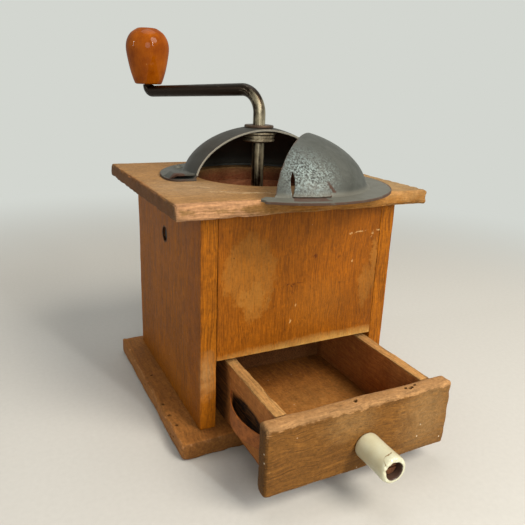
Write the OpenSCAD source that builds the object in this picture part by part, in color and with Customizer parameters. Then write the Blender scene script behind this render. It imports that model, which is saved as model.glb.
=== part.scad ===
// Manual coffee grinder: wooden box mill with a drawer, a split sheet dome and a bent rod crank.
// Frame: origin at the middle of the base underside, +Z up, the drawer slides out along -Y.
// All sizes in millimetres and degrees.

/* [Case] */
// Width of the wooden box over its side boards
body_w = 128; // [115:1:142]
// Depth of the wooden box from front face to back face
body_d = 131; // [126:1:150]
// Height of the box boards between the base and the top
body_h = 129.4; // [124:0.1:150]
// Thickness of the side, front and back boards
board_t = 10; // [9:0.5:11]
// Thickness of the base board
base_t = 11.2; // [10:0.1:15]
// How far the base stands out at each side
base_over_x = 14.2; // [8:0.1:20]
// How far the base stands out at the front and at the back
base_over_y = 10; // [9.6:0.1:16]
// Thickness of the top board
top_t = 9.3; // [8:0.1:13]
// How far the top stands out at each side
top_over_x = 17; // [10:0.1:22]
// How far the top stands out at the front and at the back
top_over_y = 9; // [7:0.1:16]
// Rounding of the worn edges of base and top
edge_r = 3; // [1.5:0.5:4]

/* [Drawer] */
// Height of the drawer opening above the base
opening_h = 43.7; // [38:0.1:46]
// How far the drawer stands out of the box in the drawn pose
drawer_out = 58; // [10:1:75]
// Gap under the drawer and beside its right wall
drawer_gap = 0.5; // [0.3:0.1:0.8]
// Gap between the left wall of the drawer and the left side board, taken by the leaf spring
spring_gap = 7.5; // [6:0.1:9]
// Thickness of the drawer walls
wall_t = 7; // [6:0.5:8]
// Thickness of the drawer front board
front_t = 9.3; // [8:0.1:9.6]
// Width of the drawer front board
front_w = 118; // [110:1:122]
// Thickness of the drawer floor
floor_t = 4; // [3:0.5:5]
// Diameter of the porcelain drawer knob
dknob_d = 15; // [12:0.5:18]
// Length of the porcelain drawer knob
dknob_l = 24; // [18:0.5:28]
// Height of the knob centre above the base
dknob_up = 16.5; // [13:0.5:20]
// Height of the leaf spring strip
spring_h = 11; // [8:0.5:13]
// Thickness of the leaf spring strip
spring_t = 0.8; // [0.6:0.1:1]
// Length of the leaf spring along the drawer wall
spring_l = 52; // [44:1:60]

/* [Dome] */
// Outside radius of the dome at its foot
dome_r = 48.9; // [47:0.1:50]
// Height of the dome above the top board
dome_h = 32; // [28:0.1:36]
// Fullness of the dome, where 2 is an ellipse and less is more pointed
dome_power = 1.8; // [1.7:0.05:2]
// Thickness of the dome sheet
sheet_t = 1.2; // [0.9:0.1:1.5]
// Radius of the flange round the dome
flange_r = 63.6; // [62:0.1:65]
// Distance from the shaft to the front edge of the fixed half
dome_cut = 11.7; // [11.4:0.1:13]
// Gap between the fixed half and the closed cover
cover_gap = 0.6; // [0.4:0.1:1]
// Angle that the cover stands open in the drawn pose
cover_open = 42; // [0:1:80]
// Radius from the shaft to the cover pivot
pivot_r = 57; // [56:0.1:58]
// Angle of the cover pivot in front of the right-hand side
pivot_ang = 24; // [22:1:28]
// Diameter of the cover pivot screw
pivot_d = 4.6; // [4:0.1:5]
// Wall of the hopper bowl at its upper rim
bowl_wall = 10; // [8:0.5:12]
// Width of the finger lip on the cover
lip_w = 20; // [14:1:24]
// Height of the finger lip on the cover
lip_h = 16; // [12:0.5:18]

/* [Crank] */
// Diameter of the crank rod and of the shaft
rod_d = 8; // [7:0.1:9]
// Radius from the shaft to the knob spindle
arm_r = 110; // [90:1:130]
// Height of the crank arm above the top board, at the shaft
arm_up = 54; // [50:0.5:70]
// Slope of the arm down towards the knob
arm_drop = 2.7; // [0:0.1:5]
// Direction of the arm in the drawn pose, from +X towards +Y
arm_az = 114; // [0:1:359]
// Bend radius at the shaft end of the arm
bend_shaft = 14.7; // [10:0.1:18]
// Bend radius at the knob end of the arm
bend_knob = 4.5; // [4.3:0.1:8]
// Largest diameter of the crank knob
knob_d = 31.4; // [26:0.1:38]
// Height of the crank knob
knob_h = 39.6; // [36:0.1:52]
// Diameter of the spindle inside the knob
spindle_d = 6; // [5:0.1:6.5]
// Running clearance of each turning fit, on the radius
run_fit = 0.06; // [0.03:0.01:0.09]

/* [Mill] */
// Outside radius of the outer burr
burr_r = 33; // [31:0.5:35]
// Height of the outer burr
burr_h = 30; // [27:0.5:33]
// Grinding gap between the burrs at their lower edge
grind_gap = 1.2; // [1:0.1:1.6]
// Number of grooves in the inner burr
inner_teeth = 12; // [8:1:16]
// Number of grooves in the outer burr
outer_teeth = 18; // [12:1:24]
// Diameter of the knurled adjusting nut
nut_d = 24; // [20:0.5:28]
// Diameter of the threaded thrust stud
stud_d = 8; // [7:0.5:9]

/* [Hidden] */
$fn = 64;
eps = 0.02;
// Clearance between a fixed screw or dowel and its hole, on the radius
fit = 0.1;
// Clearance between pieces that move past each other
clear = 0.4;
z_under = base_t + body_h;
z_plate = z_under + top_t;
in_w = body_w - 2*board_t;
front_y = -body_d/2;
// Drawer positions, drawn closed and then slid out
d_z0 = base_t + drawer_gap;
d_right = in_w/2 - drawer_gap - 0.3;
d_left = -in_w/2 + spring_gap;
d_mid = (d_left + d_right)/2;
d_back = front_y - 0.3;
d_len = body_d - board_t - 9;
d_wall_h = opening_h - drawer_gap - 3;
d_front_h = opening_h - drawer_gap - 2;
d_floor_z = d_z0 + 2.5;
groove = 2.5;
spring_z = d_z0 + 14;
dknob_x = d_mid + 1;
dknob_z = base_t + dknob_up;
// Dome levels: the cover flange slides over the fixed flange, and its left tip goes in under the keeper
z_cover = z_plate + sheet_t + 0.3;
z_ear = z_cover + sheet_t + clear;
ear_y = 4;
keeper_r = flange_r - 1.4;
end_r = 8;
z_pivot = z_cover + sheet_t + 0.3;
// The crown is pressed flat where the bush sits
seat = 1.1;
px = pivot_r*cos(pivot_ang);
py = -pivot_r*sin(pivot_ang);
crown_z = z_plate + dome_h - seat;
bush_r = 6;
bush_top = crown_z + 0.05;
// Crank, with bends drawn a hair thinner so that they run into the straight lengths
rod_r = rod_d/2;
bend_thin = 0.03;
lap = 0.3;
arm_z = z_plate + arm_up;
bend_z = arm_z - bend_shaft;
arm_len = (arm_r - (bend_shaft + bend_knob)*(1 + sin(arm_drop)))/cos(arm_drop);
arm_x0 = bend_shaft*(1 + sin(arm_drop));
arm_z0 = bend_z + bend_shaft*cos(arm_drop);
arm_x1 = arm_x0 + arm_len*cos(arm_drop);
arm_z1 = arm_z0 - arm_len*sin(arm_drop);
spin_z = arm_z1 + bend_knob*cos(arm_drop);
knob_z = spin_z + 0.4;
knob_recess = 5;
// Mill levels, hung from the underside of the top board
side_screw_z = z_under - 25.6;
bowl_h = 18.6;
bowl_z = z_under - bowl_h;
// The bowl fills the box but for a small gap at the side boards, and the bean hole is as wide as its mouth
bowl_gap = 4;
bowl_r = in_w/2 - bowl_gap;
hole_r = bowl_r - bowl_wall;
ob_z1 = bowl_z;
ob_z0 = ob_z1 - burr_h;
boss_y = 26;
bridge_t = 4;
bridge_z = ob_z0 - 16;
nut_z = bridge_z + bridge_t + 0.3;
nut_h = 6;
cup_r = 6.5;
cup_z = nut_z + nut_h + 1;
cup_h = 5.5;
journal_r = 3;
journal_z = cup_z + 1;
ib_z0 = cup_z + cup_h + 0.8;
ib_z1 = ob_z1 - 1;
ib_r = 22;
ob_bore0 = ib_r + grind_gap;
ob_bore1 = ob_bore0 - 2.6;
ob_mouth = 26;

// Shared shapes

// Board lying flat with its upper long edges rounded, underside at z = 0
module worn_board(w, d, t, r_up, r_low) {
    intersection() {
        translate([0, d/2, 0]) rotate([90, 0, 0]) linear_extrude(d) worn_edge(w, t, r_up, r_low);
        translate([-w/2, 0, 0]) rotate([90, 0, 90]) linear_extrude(w) worn_edge(d, t, r_up, r_low);
    }
}

// Section of a board with rounded upper and lower corners
module worn_edge(w, t, r_up, r_low) {
    translate([-w/2 + r_up, r_low]) square([w - 2*r_up, t - r_low]);
    translate([-w/2, r_low]) square([w, t - r_low - r_up]);
    translate([-w/2 + r_low, 0]) square([w - 2*r_low, r_low + eps]);
    for (s = [-1, 1]) {
        translate([s*(w/2 - r_up), t - r_up]) circle(r_up);
        translate([s*(w/2 - r_low), r_low]) circle(r_low);
    }
}

// Countersunk wood screw pointing up, top of the slotted head at z = 0
module wood_screw(r, l, head_r) {
    difference() {
        union() {
            cylinder(h = head_r - r, r1 = head_r, r2 = r);
            cylinder(h = l - 2*r, r = r);
            translate([0, 0, l - 2*r - eps]) cylinder(h = 2*r, r1 = r, r2 = 0.3);
        }
        translate([-head_r - 1, -0.5, -1]) cube([2*head_r + 2, 1, 1.8]);
    }
}

// Room for a wood screw, with its countersink
module screw_room(r, l, head_r) {
    translate([0, 0, -eps]) cylinder(h = head_r - r + fit, r1 = head_r + fit, r2 = r);
    cylinder(h = l - 2*r + fit, r = r + fit);
    translate([0, 0, l - 2*r + fit - eps]) cylinder(h = 2*r, r1 = r + fit, r2 = 0.3);
}

// Dome profile from the foot to the flat seat at the crown
function arch(r, h, n) = [for (i = [0:n])
    [r*pow(cos(90*i/n), 2/dome_power), min(h*pow(sin(90*i/n), 2/dome_power), h - seat)]];

// Hollow dome of sheet standing on z = 0
module dome_shell() {
    n = 18;
    outer = arch(dome_r, dome_h, n);
    inner = arch(dome_r - sheet_t, dome_h - sheet_t, n);
    rotate_extrude($fn = 128) polygon(concat(outer, [for (i = [n:-1:0]) inner[i]]));
}

// Flat ring of sheet standing on z = 0
module sheet_ring(r_out, r_in) {
    difference() {
        cylinder(h = sheet_t, r = r_out, $fn = 128);
        translate([0, 0, -1]) cylinder(h = sheet_t + 2, r = r_in, $fn = 128);
    }
}

// Places of the repeated fasteners
module at_base_screws() {
    for (x = [-1, 1], y = [-0.3, 0.3]) translate([x*(body_w - board_t)/2, y*body_d, 0]) children();
}
module at_top_dowels() {
    for (x = [-1, 1], y = [-0.36, 0.36])
        translate([x*(body_w - board_t)/2, y*body_d, z_under - 12]) children();
}
module at_side_screws() {
    for (s = [0, 180]) rotate([0, 0, s]) translate([body_w/2, 0, side_screw_z]) rotate([0, -90, 0]) children();
}
module at_bowl_screws() {
    for (a = [45:90:315]) rotate([0, 0, a]) translate([bowl_r - 5, 0, bowl_z]) children();
}
module at_dome_screws() {
    for (a = [40, 90, 140]) rotate([0, 0, a]) translate([(dome_r + flange_r)/2, 0, 0]) children();
}
module at_bridge_screws() {
    for (s = [-1, 1]) translate([0, s*boss_y, bridge_z]) children();
}

// Wooden case

module base_plate() {
    color("SaddleBrown") difference() {
        worn_board(body_w + 2*base_over_x, body_d + 2*base_over_y, base_t, edge_r, 1);
        at_base_screws() screw_room(1.9, 32, 4);
    }
}

module side_board(s) {
    difference() {
        translate([s*(body_w - board_t)/2 - board_t/2, -body_d/2, base_t]) cube([board_t, body_d, body_h]);
        at_base_screws() screw_room(1.9, 32, 4);
        at_top_dowels() translate([0, 0, -fit]) cylinder(h = 30, r = 3 + fit);
        at_side_screws() side_screw_room();
    }
}

module side_screw_room() {
    translate([0, 0, -1]) cylinder(h = 6, r = 5.2);
    cylinder(h = 40, r = 2.5 + fit);
}

module left_side() {
    color("Sienna") side_board(-1);
}

module right_side() {
    color("Sienna") side_board(1);
}

module back_panel() {
    color("Sienna") translate([-in_w/2, body_d/2 - board_t, base_t]) cube([in_w, board_t, body_h]);
}

module front_panel() {
    color("Peru") translate([-in_w/2, front_y, base_t + opening_h])
        cube([in_w, board_t, body_h - opening_h]);
}

module top_plate() {
    color("BurlyWood") difference() {
        translate([0, 0, z_under]) worn_board(body_w + 2*top_over_x, body_d + 2*top_over_y, top_t, edge_r, 1.5);
        translate([0, 0, z_under - 1]) cylinder(h = top_t + 2, r = hole_r, $fn = 128);
        at_top_dowels() cylinder(h = 18 + fit, r = 3 + fit);
        at_bowl_screws() screw_room(1.6, bowl_h + 6, 3.2);
        at_dome_screws() translate([0, 0, z_plate + 1]) mirror([0, 0, 1]) cylinder(h = 8.2, r = 1.3 + fit);
        translate([px, py, z_plate - 7.2]) cylinder(h = 8, r = pivot_d/2 + fit);
    }
}

module base_screws() {
    color("DimGray") at_base_screws() wood_screw(1.9, 32, 4);
}

module top_dowels() {
    color("Tan") at_top_dowels() cylinder(h = 18, r = 3);
}

// Cheese-head screws sunk in the side boards, holding the arms of the outer burr
module side_screws() {
    color("DarkSlateGray") at_side_screws() translate([0, 0, 1.6]) difference() {
        union() {
            cylinder(h = 3.4, r = 4.8);
            cylinder(h = 20, r = 2.5);
        }
        translate([-6, -0.6, -1]) cube([12, 1.2, 2.2]);
    }
}

// Mill under the top

module hopper_bowl() {
    color("Sienna") difference() {
        translate([0, 0, bowl_z]) cylinder(h = bowl_h, r = bowl_r, $fn = 96);
        translate([0, 0, bowl_z - eps])
            cylinder(h = bowl_h - 5 + 2*eps, r1 = ob_mouth, r2 = hole_r, $fn = 96);
        translate([0, 0, z_under - 5]) cylinder(h = 6, r = hole_r, $fn = 96);
        at_bowl_screws() screw_room(1.6, bowl_h + 6, 3.2);
    }
}

module bowl_screws() {
    color("DimGray") at_bowl_screws() wood_screw(1.6, bowl_h + 6, 3.2);
}

module outer_burr() {
    color("DimGray") difference() {
        union() {
            translate([0, 0, ob_z0]) cylinder(h = burr_h, r = burr_r, $fn = 96);
            translate([-in_w/2, -7, side_screw_z - 6]) cube([in_w, 14, 12]);
            for (s = [-1, 1]) translate([0, s*boss_y, bridge_z + bridge_t])
                cylinder(h = ob_z0 - bridge_z - bridge_t + 6, r = 5);
        }
        translate([0, 0, ob_z0 - 1]) cylinder(h = burr_h + 2, r = ob_bore1, $fn = 96);
        translate([0, 0, ob_z0 - eps]) cylinder(h = 16, r1 = ob_bore0, r2 = ob_bore1 - eps, $fn = 96);
        translate([0, 0, ob_z1 - 10]) cylinder(h = 10 + eps, r1 = ob_bore1 - eps, r2 = ob_mouth, $fn = 96);
        for (i = [0:outer_teeth - 1]) rotate([0, 0, i*360/outer_teeth])
            translate([ob_bore1, 0, ob_z0 - 2]) rotate([14, 0, 0]) cylinder(h = burr_h + 6, r = 1.1, $fn = 16);
        at_side_screws() cylinder(h = 40, r = 2.5 + fit);
        for (s = [-1, 1]) translate([0, s*boss_y, bridge_z]) cylinder(h = 16, r = 2 + fit);
    }
}

module inner_burr() {
    color("Gray") difference() {
        rotate_extrude($fn = 96) polygon([
            [rod_r + 0.05, ib_z0], [ib_r, ib_z0], [ib_r - 0.6, ib_z0 + 4], [ib_r - 4, ib_z0 + 13],
            [10.5, ib_z1 - 7], [8.5, ib_z1 - 6], [8.5, ib_z1], [rod_r + 0.05, ib_z1]]);
        for (i = [0:inner_teeth - 1]) rotate([0, 0, i*360/inner_teeth])
            translate([ib_r + 0.4, 0, ib_z0 - 2]) rotate([-16, -20, 0]) cylinder(h = 26, r = 1.7, $fn = 16);
        translate([0, 0, ib_z1 - 3]) rotate([90, 0, 0]) cylinder(h = 40, r = 1.5 + 0.05, center = true);
    }
}

module burr_pin() {
    color("Silver") translate([0, 0, ib_z1 - 3]) rotate([90, 0, 0]) cylinder(h = 20, r = 1.5, center = true);
}

module bridge() {
    color("SlateGray") difference() {
        union() {
            translate([-8, -boss_y, bridge_z]) cube([16, 2*boss_y, bridge_t]);
            for (s = [-1, 1]) translate([0, s*boss_y, bridge_z]) cylinder(h = bridge_t, r = 8);
        }
        translate([0, 0, bridge_z - 1]) linear_extrude(bridge_t + 2) stud_section(clear);
        at_bridge_screws() translate([0, 0, -1]) cylinder(h = bridge_t + 2, r = 2 + fit);
    }
}

// Round stud section with one flat, grown by g
module stud_section(g) {
    difference() {
        circle(stud_d/2 + g);
        translate([stud_d/2 - 1.2 + g, -stud_d]) square(2*stud_d);
    }
}

module bridge_screws() {
    color("Silver") at_bridge_screws() difference() {
        union() {
            translate([0, 0, -3]) cylinder(h = 3, r = 3.6);
            translate([0, 0, -eps]) cylinder(h = 14, r = 2);
        }
        translate([-5, -0.6, -4]) cube([10, 1.2, 2.2]);
    }
}

// Knurled nut that rests on the bridge and carries the stud
module adjusting_nut() {
    color("Peru") difference() {
        translate([0, 0, nut_z]) cylinder(h = nut_h, r = nut_d/2, $fn = 96);
        translate([0, 0, nut_z - 1]) cylinder(h = nut_h + 2, r = stud_d/2 + 0.3);
        for (i = [0:23]) rotate([0, 0, i*15])
            translate([nut_d/2 + 0.3, 0, nut_z - 1]) cylinder(h = nut_h + 2, r = 0.9, $fn = 16);
    }
}

module thrust_stud() {
    color("SlateGray") difference() {
        union() {
            translate([0, 0, bridge_z - 12]) linear_extrude(cup_z - bridge_z + 12 + eps) stud_section(0);
            translate([0, 0, cup_z]) cylinder(h = cup_h, r = cup_r);
        }
        translate([0, 0, journal_z]) cylinder(h = 20, r = journal_r + run_fit);
    }
}

// Dome and cover

// Part of a disc behind the cut, with its left end rounded
module rounded_end(r) {
    intersection() {
        circle(r, $fn = 128);
        union() {
            translate([-100, end_r - dome_cut]) square(200);
            translate([end_r - r + 0.15, -dome_cut]) square([r, 100]);
        }
    }
    translate([end_r - r + 0.15, end_r - dome_cut]) circle(end_r);
}

// Flange of the fixed half: it lies on the top board, with a rounded left end and an eye for the pivot
module flange_outline() {
    difference() {
        union() {
            rounded_end(flange_r);
            intersection() {
                circle(flange_r, $fn = 128);
                translate([0, py]) square(100);
            }
            translate([px, py]) circle(7.4);
        }
        circle(dome_r - sheet_t, $fn = 128);
        translate([px, py]) circle(pivot_d/2 + fit);
    }
}

// Keeper raised from the flange at the left, open to the front for the tip of the cover
module keeper() {
    intersection() {
        union() {
            translate([0, 0, z_ear - z_plate]) sheet_ring(keeper_r, dome_r - sheet_t);
            difference() {
                cylinder(h = z_ear - z_plate + sheet_t, r = keeper_r, $fn = 128);
                translate([0, 0, -1]) cylinder(h = 20, r = keeper_r - sheet_t, $fn = 128);
            }
            difference() {
                translate([-keeper_r, ear_y - sheet_t, 0]) cube([keeper_r, sheet_t, z_ear - z_plate + sheet_t]);
                translate([0, 0, -1]) cylinder(h = 20, r = dome_r - sheet_t, $fn = 128);
            }
        }
        translate([0, 1, 0]) linear_extrude(20) rounded_end(keeper_r);
        translate([-100, -100, -1]) cube([100, 100 + ear_y, 20]);
    }
}

module fixed_dome() {
    color("LightSlateGray") difference() {
        translate([0, 0, z_plate]) union() {
            intersection() {
                dome_shell();
                translate([-100, -dome_cut, -1]) cube([200, 200, 100]);
            }
            linear_extrude(sheet_t) flange_outline();
            keeper();
        }
        translate([0, 0, crown_z - 6]) cylinder(h = 12, r = bush_r + fit);
        at_dome_screws() translate([0, 0, z_plate - 1]) cylinder(h = 4, r = 1.3 + fit);
    }
}

module dome_screws() {
    color("DarkKhaki") at_dome_screws() translate([0, 0, z_plate + sheet_t]) difference() {
        union() {
            intersection() {
                translate([0, 0, -2.2]) sphere(4);
                cylinder(h = 4, r = 3.4);
            }
            translate([0, 0, -8]) cylinder(h = 8 + eps, r = 1.3);
        }
        translate([-5, -0.4, 0.9]) cube([10, 0.8, 3]);
    }
}

// Cover drawn closed: front part of the dome on its own flange, with a pressed-out finger lip
module cover_closed() {
    y_edge = -dome_cut - cover_gap;
    lip_top_r = dome_r*pow(1 - pow(lip_h/dome_h, dome_power), 1/dome_power) - sheet_t/2;
    lip_out = 55 - lip_top_r;
    lip_run = sqrt(pow(lip_out, 2) + pow(lip_h - 2, 2));
    translate([0, 0, z_cover]) {
        difference() {
            intersection() {
                dome_shell();
                translate([-100, y_edge - 200, -1]) cube([200, 200, 100]);
            }
            rotate([0, 0, -147.5]) translate([34, -lip_w/2 - 0.8, sheet_t]) cube([30, lip_w + 1.6, lip_h - sheet_t]);
        }
        rotate([0, 0, -147.5]) translate([lip_top_r - 0.6, -lip_w/2, lip_h + 0.6])
            rotate([0, 180 - atan2(lip_out, lip_h - 2), 0]) translate([-sheet_t/2, 0, 0])
            cube([sheet_t, lip_w, lip_run]);
        linear_extrude(sheet_t) difference() {
            union() {
                intersection() {
                    difference() {
                        circle(flange_r - 0.4, $fn = 128);
                        circle(dome_r - sheet_t, $fn = 128);
                    }
                    translate([-100, py - 200]) square([200, 200]);
                }
                intersection() {
                    difference() {
                        circle(flange_r - 0.4, $fn = 128);
                        circle(dome_r - sheet_t, $fn = 128);
                    }
                    translate([-100, y_edge - 30]) square([100, 30]);
                }
                intersection() {
                    difference() {
                        circle(keeper_r - sheet_t - 1.5, $fn = 128);
                        circle(dome_r + 1, $fn = 128);
                    }
                    translate([-100, y_edge - 1]) square([100, 5.4]);
                }
                difference() {
                    translate([px, py]) circle(9);
                    circle(dome_r - sheet_t, $fn = 128);
                }
            }
            translate([px, py]) circle(pivot_d/2 + run_fit);
        }
    }
}

module swing_cover() {
    color("LightSlateGray") translate([px, py, 0]) rotate([0, 0, cover_open]) translate([-px, -py, 0])
        cover_closed();
}

// Slotted shoulder screw through the pivot ear, the cover and into the top board
module cover_pivot() {
    color("DarkKhaki") translate([px, py, 0]) difference() {
        union() {
            translate([0, 0, z_plate - 7]) cylinder(h = z_pivot + 1.1 - z_plate + 7, r = pivot_d/2);
            translate([0, 0, z_pivot + 1]) cylinder(h = 1.8, r = 4.6);
        }
        translate([-6, -0.5, z_pivot + 2]) cube([12, 1, 3]);
    }
}

module pivot_washer() {
    color("Silver") translate([px, py, z_pivot]) difference() {
        cylinder(h = 0.9, r = 5.6);
        translate([0, 0, -1]) cylinder(h = 3, r = pivot_d/2 + fit);
    }
}

// Flanged bush at the crown that guides the shaft
module dome_bush() {
    color("RosyBrown") difference() {
        union() {
            translate([0, 0, bush_top]) cylinder(h = 1.8, r = 9.5);
            translate([0, 0, bush_top - 9.5]) cylinder(h = 9.6, r = bush_r);
        }
        translate([0, 0, bush_top - 12]) cylinder(h = 20, r = rod_r + run_fit);
    }
}

module bush_washer() {
    color("Silver") translate([0, 0, bush_top - 4]) difference() {
        cylinder(h = 1.5, r = 11.2);
        translate([0, 0, -1]) cylinder(h = 4, r = bush_r + fit);
    }
}

module bush_nut() {
    color("Silver") translate([0, 0, bush_top - 8.4]) difference() {
        cylinder(h = 4.2, r = 10.4);
        translate([0, 0, -1]) cylinder(h = 7, r = bush_r + fit);
        translate([0, 0, 1.6]) difference() {
            cylinder(h = 0.9, r = 12);
            translate([0, 0, -1]) cylinder(h = 3, r = 9.6);
        }
    }
}

// Crank

module crank_shaft() {
    color("DarkSlateGray") rotate([0, 0, arm_az]) difference() {
        union() {
            translate([0, 0, journal_z + 0.3]) cylinder(h = ib_z0 - journal_z, r = journal_r);
            translate([0, 0, cup_z + cup_h + 0.4]) cylinder(h = bend_z - cup_z - cup_h - 0.4 + lap, r = rod_r);
            translate([bend_shaft, 0, bend_z]) rotate([90, 0, 0]) rotate([0, 0, 90 - arm_drop])
                rotate_extrude(angle = 90 + arm_drop) translate([bend_shaft, 0]) circle(rod_r - bend_thin);
            translate([arm_x0, 0, arm_z0]) rotate([0, 90 + arm_drop, 0]) translate([0, 0, -lap])
                cylinder(h = arm_len + 2*lap, r = rod_r);
            translate([arm_x1 + bend_knob*sin(arm_drop), 0, spin_z]) rotate([90, 0, 0])
                rotate([0, 0, 270 - arm_drop]) rotate_extrude(angle = 90 + arm_drop)
                translate([bend_knob, 0]) circle(rod_r - bend_thin);
            translate([arm_r, 0, spin_z]) {
                translate([0, 0, -1]) cylinder(h = knob_h - knob_recess + 3.2, r = spindle_d/2);
                translate([0, 0, knob_h - knob_recess + 2]) intersection() {
                    cylinder(h = 2, r = 3.9);
                    translate([0, 0, -2.6]) sphere(4.6);
                }
            }
        }
        rotate([0, 0, -arm_az]) translate([0, 0, ib_z1 - 3]) rotate([90, 0, 0])
            cylinder(h = 40, r = 1.5 + 0.05, center = true);
    }
}

// Turned pear-shaped grip, widest above the middle
module crank_knob() {
    k = knob_d/31.4;
    h = knob_h/43;
    color("DarkOrange") rotate([0, 0, arm_az]) translate([arm_r, 0, knob_z]) difference() {
        rotate_extrude($fn = 96) polygon([
            [0, 0], [8.4*k, 0], [9.6*k, 0.5*h], [10.3*k, 1.8*h], [11.5*k, 5.4*h], [12.8*k, 10*h], [13.9*k, 15*h],
            [14.8*k, 20*h], [15.4*k, 24*h], [15.7*k, 27.5*h], [15.6*k, 30*h], [15.2*k, 32.5*h], [14.3*k, 35.2*h],
            [13*k, 37.6*h], [11.4*k, 39.6*h], [9.2*k, 41.3*h], [6.6*k, 42.4*h], [3.6*k, 42.9*h], [0, 43*h]]);
        translate([0, 0, -1]) cylinder(h = knob_h + 2, r = spindle_d/2 + run_fit);
        translate([0, 0, knob_h - knob_recess]) cylinder(h = 10, r = 6);
    }
}

module knob_washer() {
    color("Silver") rotate([0, 0, arm_az]) translate([arm_r, 0, knob_z + knob_h - knob_recess + 0.3]) difference() {
        cylinder(h = 1.2, r = 5.4);
        translate([0, 0, -1]) cylinder(h = 4, r = spindle_d/2 + 0.05);
    }
}

// Drawer, each piece drawn closed and slid out by drawer_out

module slid_out() {
    translate([0, -drawer_out, 0]) children();
}

module at_drawer_dowels() {
    for (x = [d_left + wall_t/2, d_right - wall_t/2], z = [0.28, 0.72])
        translate([x, d_back - 5, d_z0 + z*d_wall_h]) rotate([-90, 0, 0]) children();
}

module at_drawer_nails() {
    for (s = [0, 1], z = [0.3, 0.8])
        translate([s == 0 ? d_left : d_right, d_back + d_len - wall_t/2, d_z0 + z*d_wall_h])
            rotate([0, s == 0 ? 90 : -90, 0]) children();
}

module at_spring_nails() {
    for (y = [4, 10]) translate([d_left - spring_t, d_back + y, spring_z + spring_h/2])
        rotate([0, 90, 0]) children();
}

module drawer_front() {
    color("Peru") slid_out() difference() {
        translate([d_mid, d_back, d_z0]) rotate([90, 0, 0]) linear_extrude(front_t) front_outline();
        at_drawer_dowels() cylinder(h = 20, r = 2 + fit);
        translate([dknob_x, d_back + 1, dknob_z]) rotate([90, 0, 0]) cylinder(h = front_t + 2, r = 2 + fit);
    }
}

// Front board with worn corners
module front_outline() {
    r = 2;
    translate([-front_w/2 + r, 0]) square([front_w - 2*r, d_front_h]);
    translate([-front_w/2, r]) square([front_w, d_front_h - 2*r]);
    for (x = [-1, 1], z = [r, d_front_h - r]) translate([x*(front_w/2 - r), z]) circle(r);
}

module drawer_wall(x0, inner) {
    difference() {
        translate([x0, d_back, d_z0]) cube([wall_t, d_len, d_wall_h]);
        translate([inner - groove - fit, d_back - 1, d_floor_z - fit])
            cube([2*(groove + fit), d_len - wall_t + 2, floor_t + 2*fit]);
        at_drawer_dowels() cylinder(h = 20, r = 2 + fit);
        at_drawer_nails() cylinder(h = 22, r = 0.9 + fit);
        at_spring_nails() cylinder(h = 5.4, r = 0.8 + fit);
    }
}

module drawer_left_side() {
    color("Sienna") slid_out() drawer_wall(d_left, d_left + wall_t);
}

module drawer_right_side() {
    color("Sienna") slid_out() drawer_wall(d_right - wall_t, d_right - wall_t);
}

module drawer_back() {
    color("Sienna") slid_out() difference() {
        translate([d_left + wall_t, d_back + d_len - wall_t, d_z0])
            cube([d_right - d_left - 2*wall_t, wall_t, d_wall_h]);
        at_drawer_nails() cylinder(h = 22, r = 0.9 + fit);
    }
}

module drawer_bottom() {
    color("Peru") slid_out() translate([d_left + wall_t - groove, d_back, d_floor_z])
        cube([d_right - d_left - 2*wall_t + 2*groove, d_len - wall_t, floor_t]);
}

module drawer_knob() {
    r = dknob_d/2;
    color("Ivory") slid_out() translate([dknob_x, d_back - front_t, dknob_z]) rotate([90, 0, 0]) difference() {
        rotate_extrude($fn = 96) polygon([
            [0, 0], [r - 1.2, 0], [r - 0.4, 0.5], [r, 1.6], [r, dknob_l - 3], [r - 0.25, dknob_l - 1.5],
            [r - 0.9, dknob_l - 0.6], [r - 1.8, dknob_l - 0.1], [r - 2.6, dknob_l], [0, dknob_l]]);
        translate([0, 0, -1]) cylinder(h = dknob_l + 2, r = 2 + fit);
        translate([0, 0, dknob_l - 6]) cylinder(h = 10, r = 4.2);
    }
}

module drawer_knob_screw() {
    color("SaddleBrown") slid_out() translate([dknob_x, d_back - front_t - dknob_l + 6, dknob_z]) rotate([-90, 0, 0])
        difference() {
            union() {
                translate([0, 0, -2.4]) cylinder(h = 2.4, r = 3.7);
                translate([0, 0, -eps]) cylinder(h = dknob_l - 6 + front_t + 4.5, r = 2);
            }
            translate([-5, -0.5, -3.4]) cube([10, 1, 2]);
        }
}

module drawer_knob_nut() {
    color("SaddleBrown") slid_out() translate([dknob_x, d_back, dknob_z]) rotate([-90, 0, 0]) difference() {
        translate([-4, -4, 0]) cube([8, 8, 3.2]);
        translate([0, 0, -1]) cylinder(h = 6, r = 2 + fit);
    }
}

// Bowed steel strip nailed to the left wall behind the front board
module drawer_spring() {
    n = 28;
    foot = 14;
    bow = spring_gap - spring_t - 0.5;
    chord = spring_l - foot;
    rise = [for (i = [0:n]) bow*sin(180*i/n)];
    outer = [for (i = [0:n]) [d_left - spring_t - rise[i], d_back + foot + chord*i/n]];
    inner = [for (i = [n:-1:0]) [d_left - rise[i], d_back + foot + chord*i/n]];
    color("Chocolate") slid_out() difference() {
        translate([0, 0, spring_z]) linear_extrude(spring_h)
            polygon(concat([[d_left, d_back], [d_left - spring_t, d_back]], outer, inner));
        at_spring_nails() translate([0, 0, -1]) cylinder(h = 4, r = 0.8 + fit);
    }
}

module spring_nails() {
    color("DimGray") slid_out() at_spring_nails() {
        translate([0, 0, -0.7]) cylinder(h = 0.7, r = 2);
        translate([0, 0, -eps]) cylinder(h = 5, r = 0.8);
    }
}

module drawer_dowels() {
    color("Tan") slid_out() at_drawer_dowels() translate([0, 0, 0.5]) cylinder(h = 19, r = 2);
}

module drawer_nails() {
    color("DimGray") slid_out() at_drawer_nails() translate([0, 0, 0.2]) cylinder(h = 20, r = 0.9);
}

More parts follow.
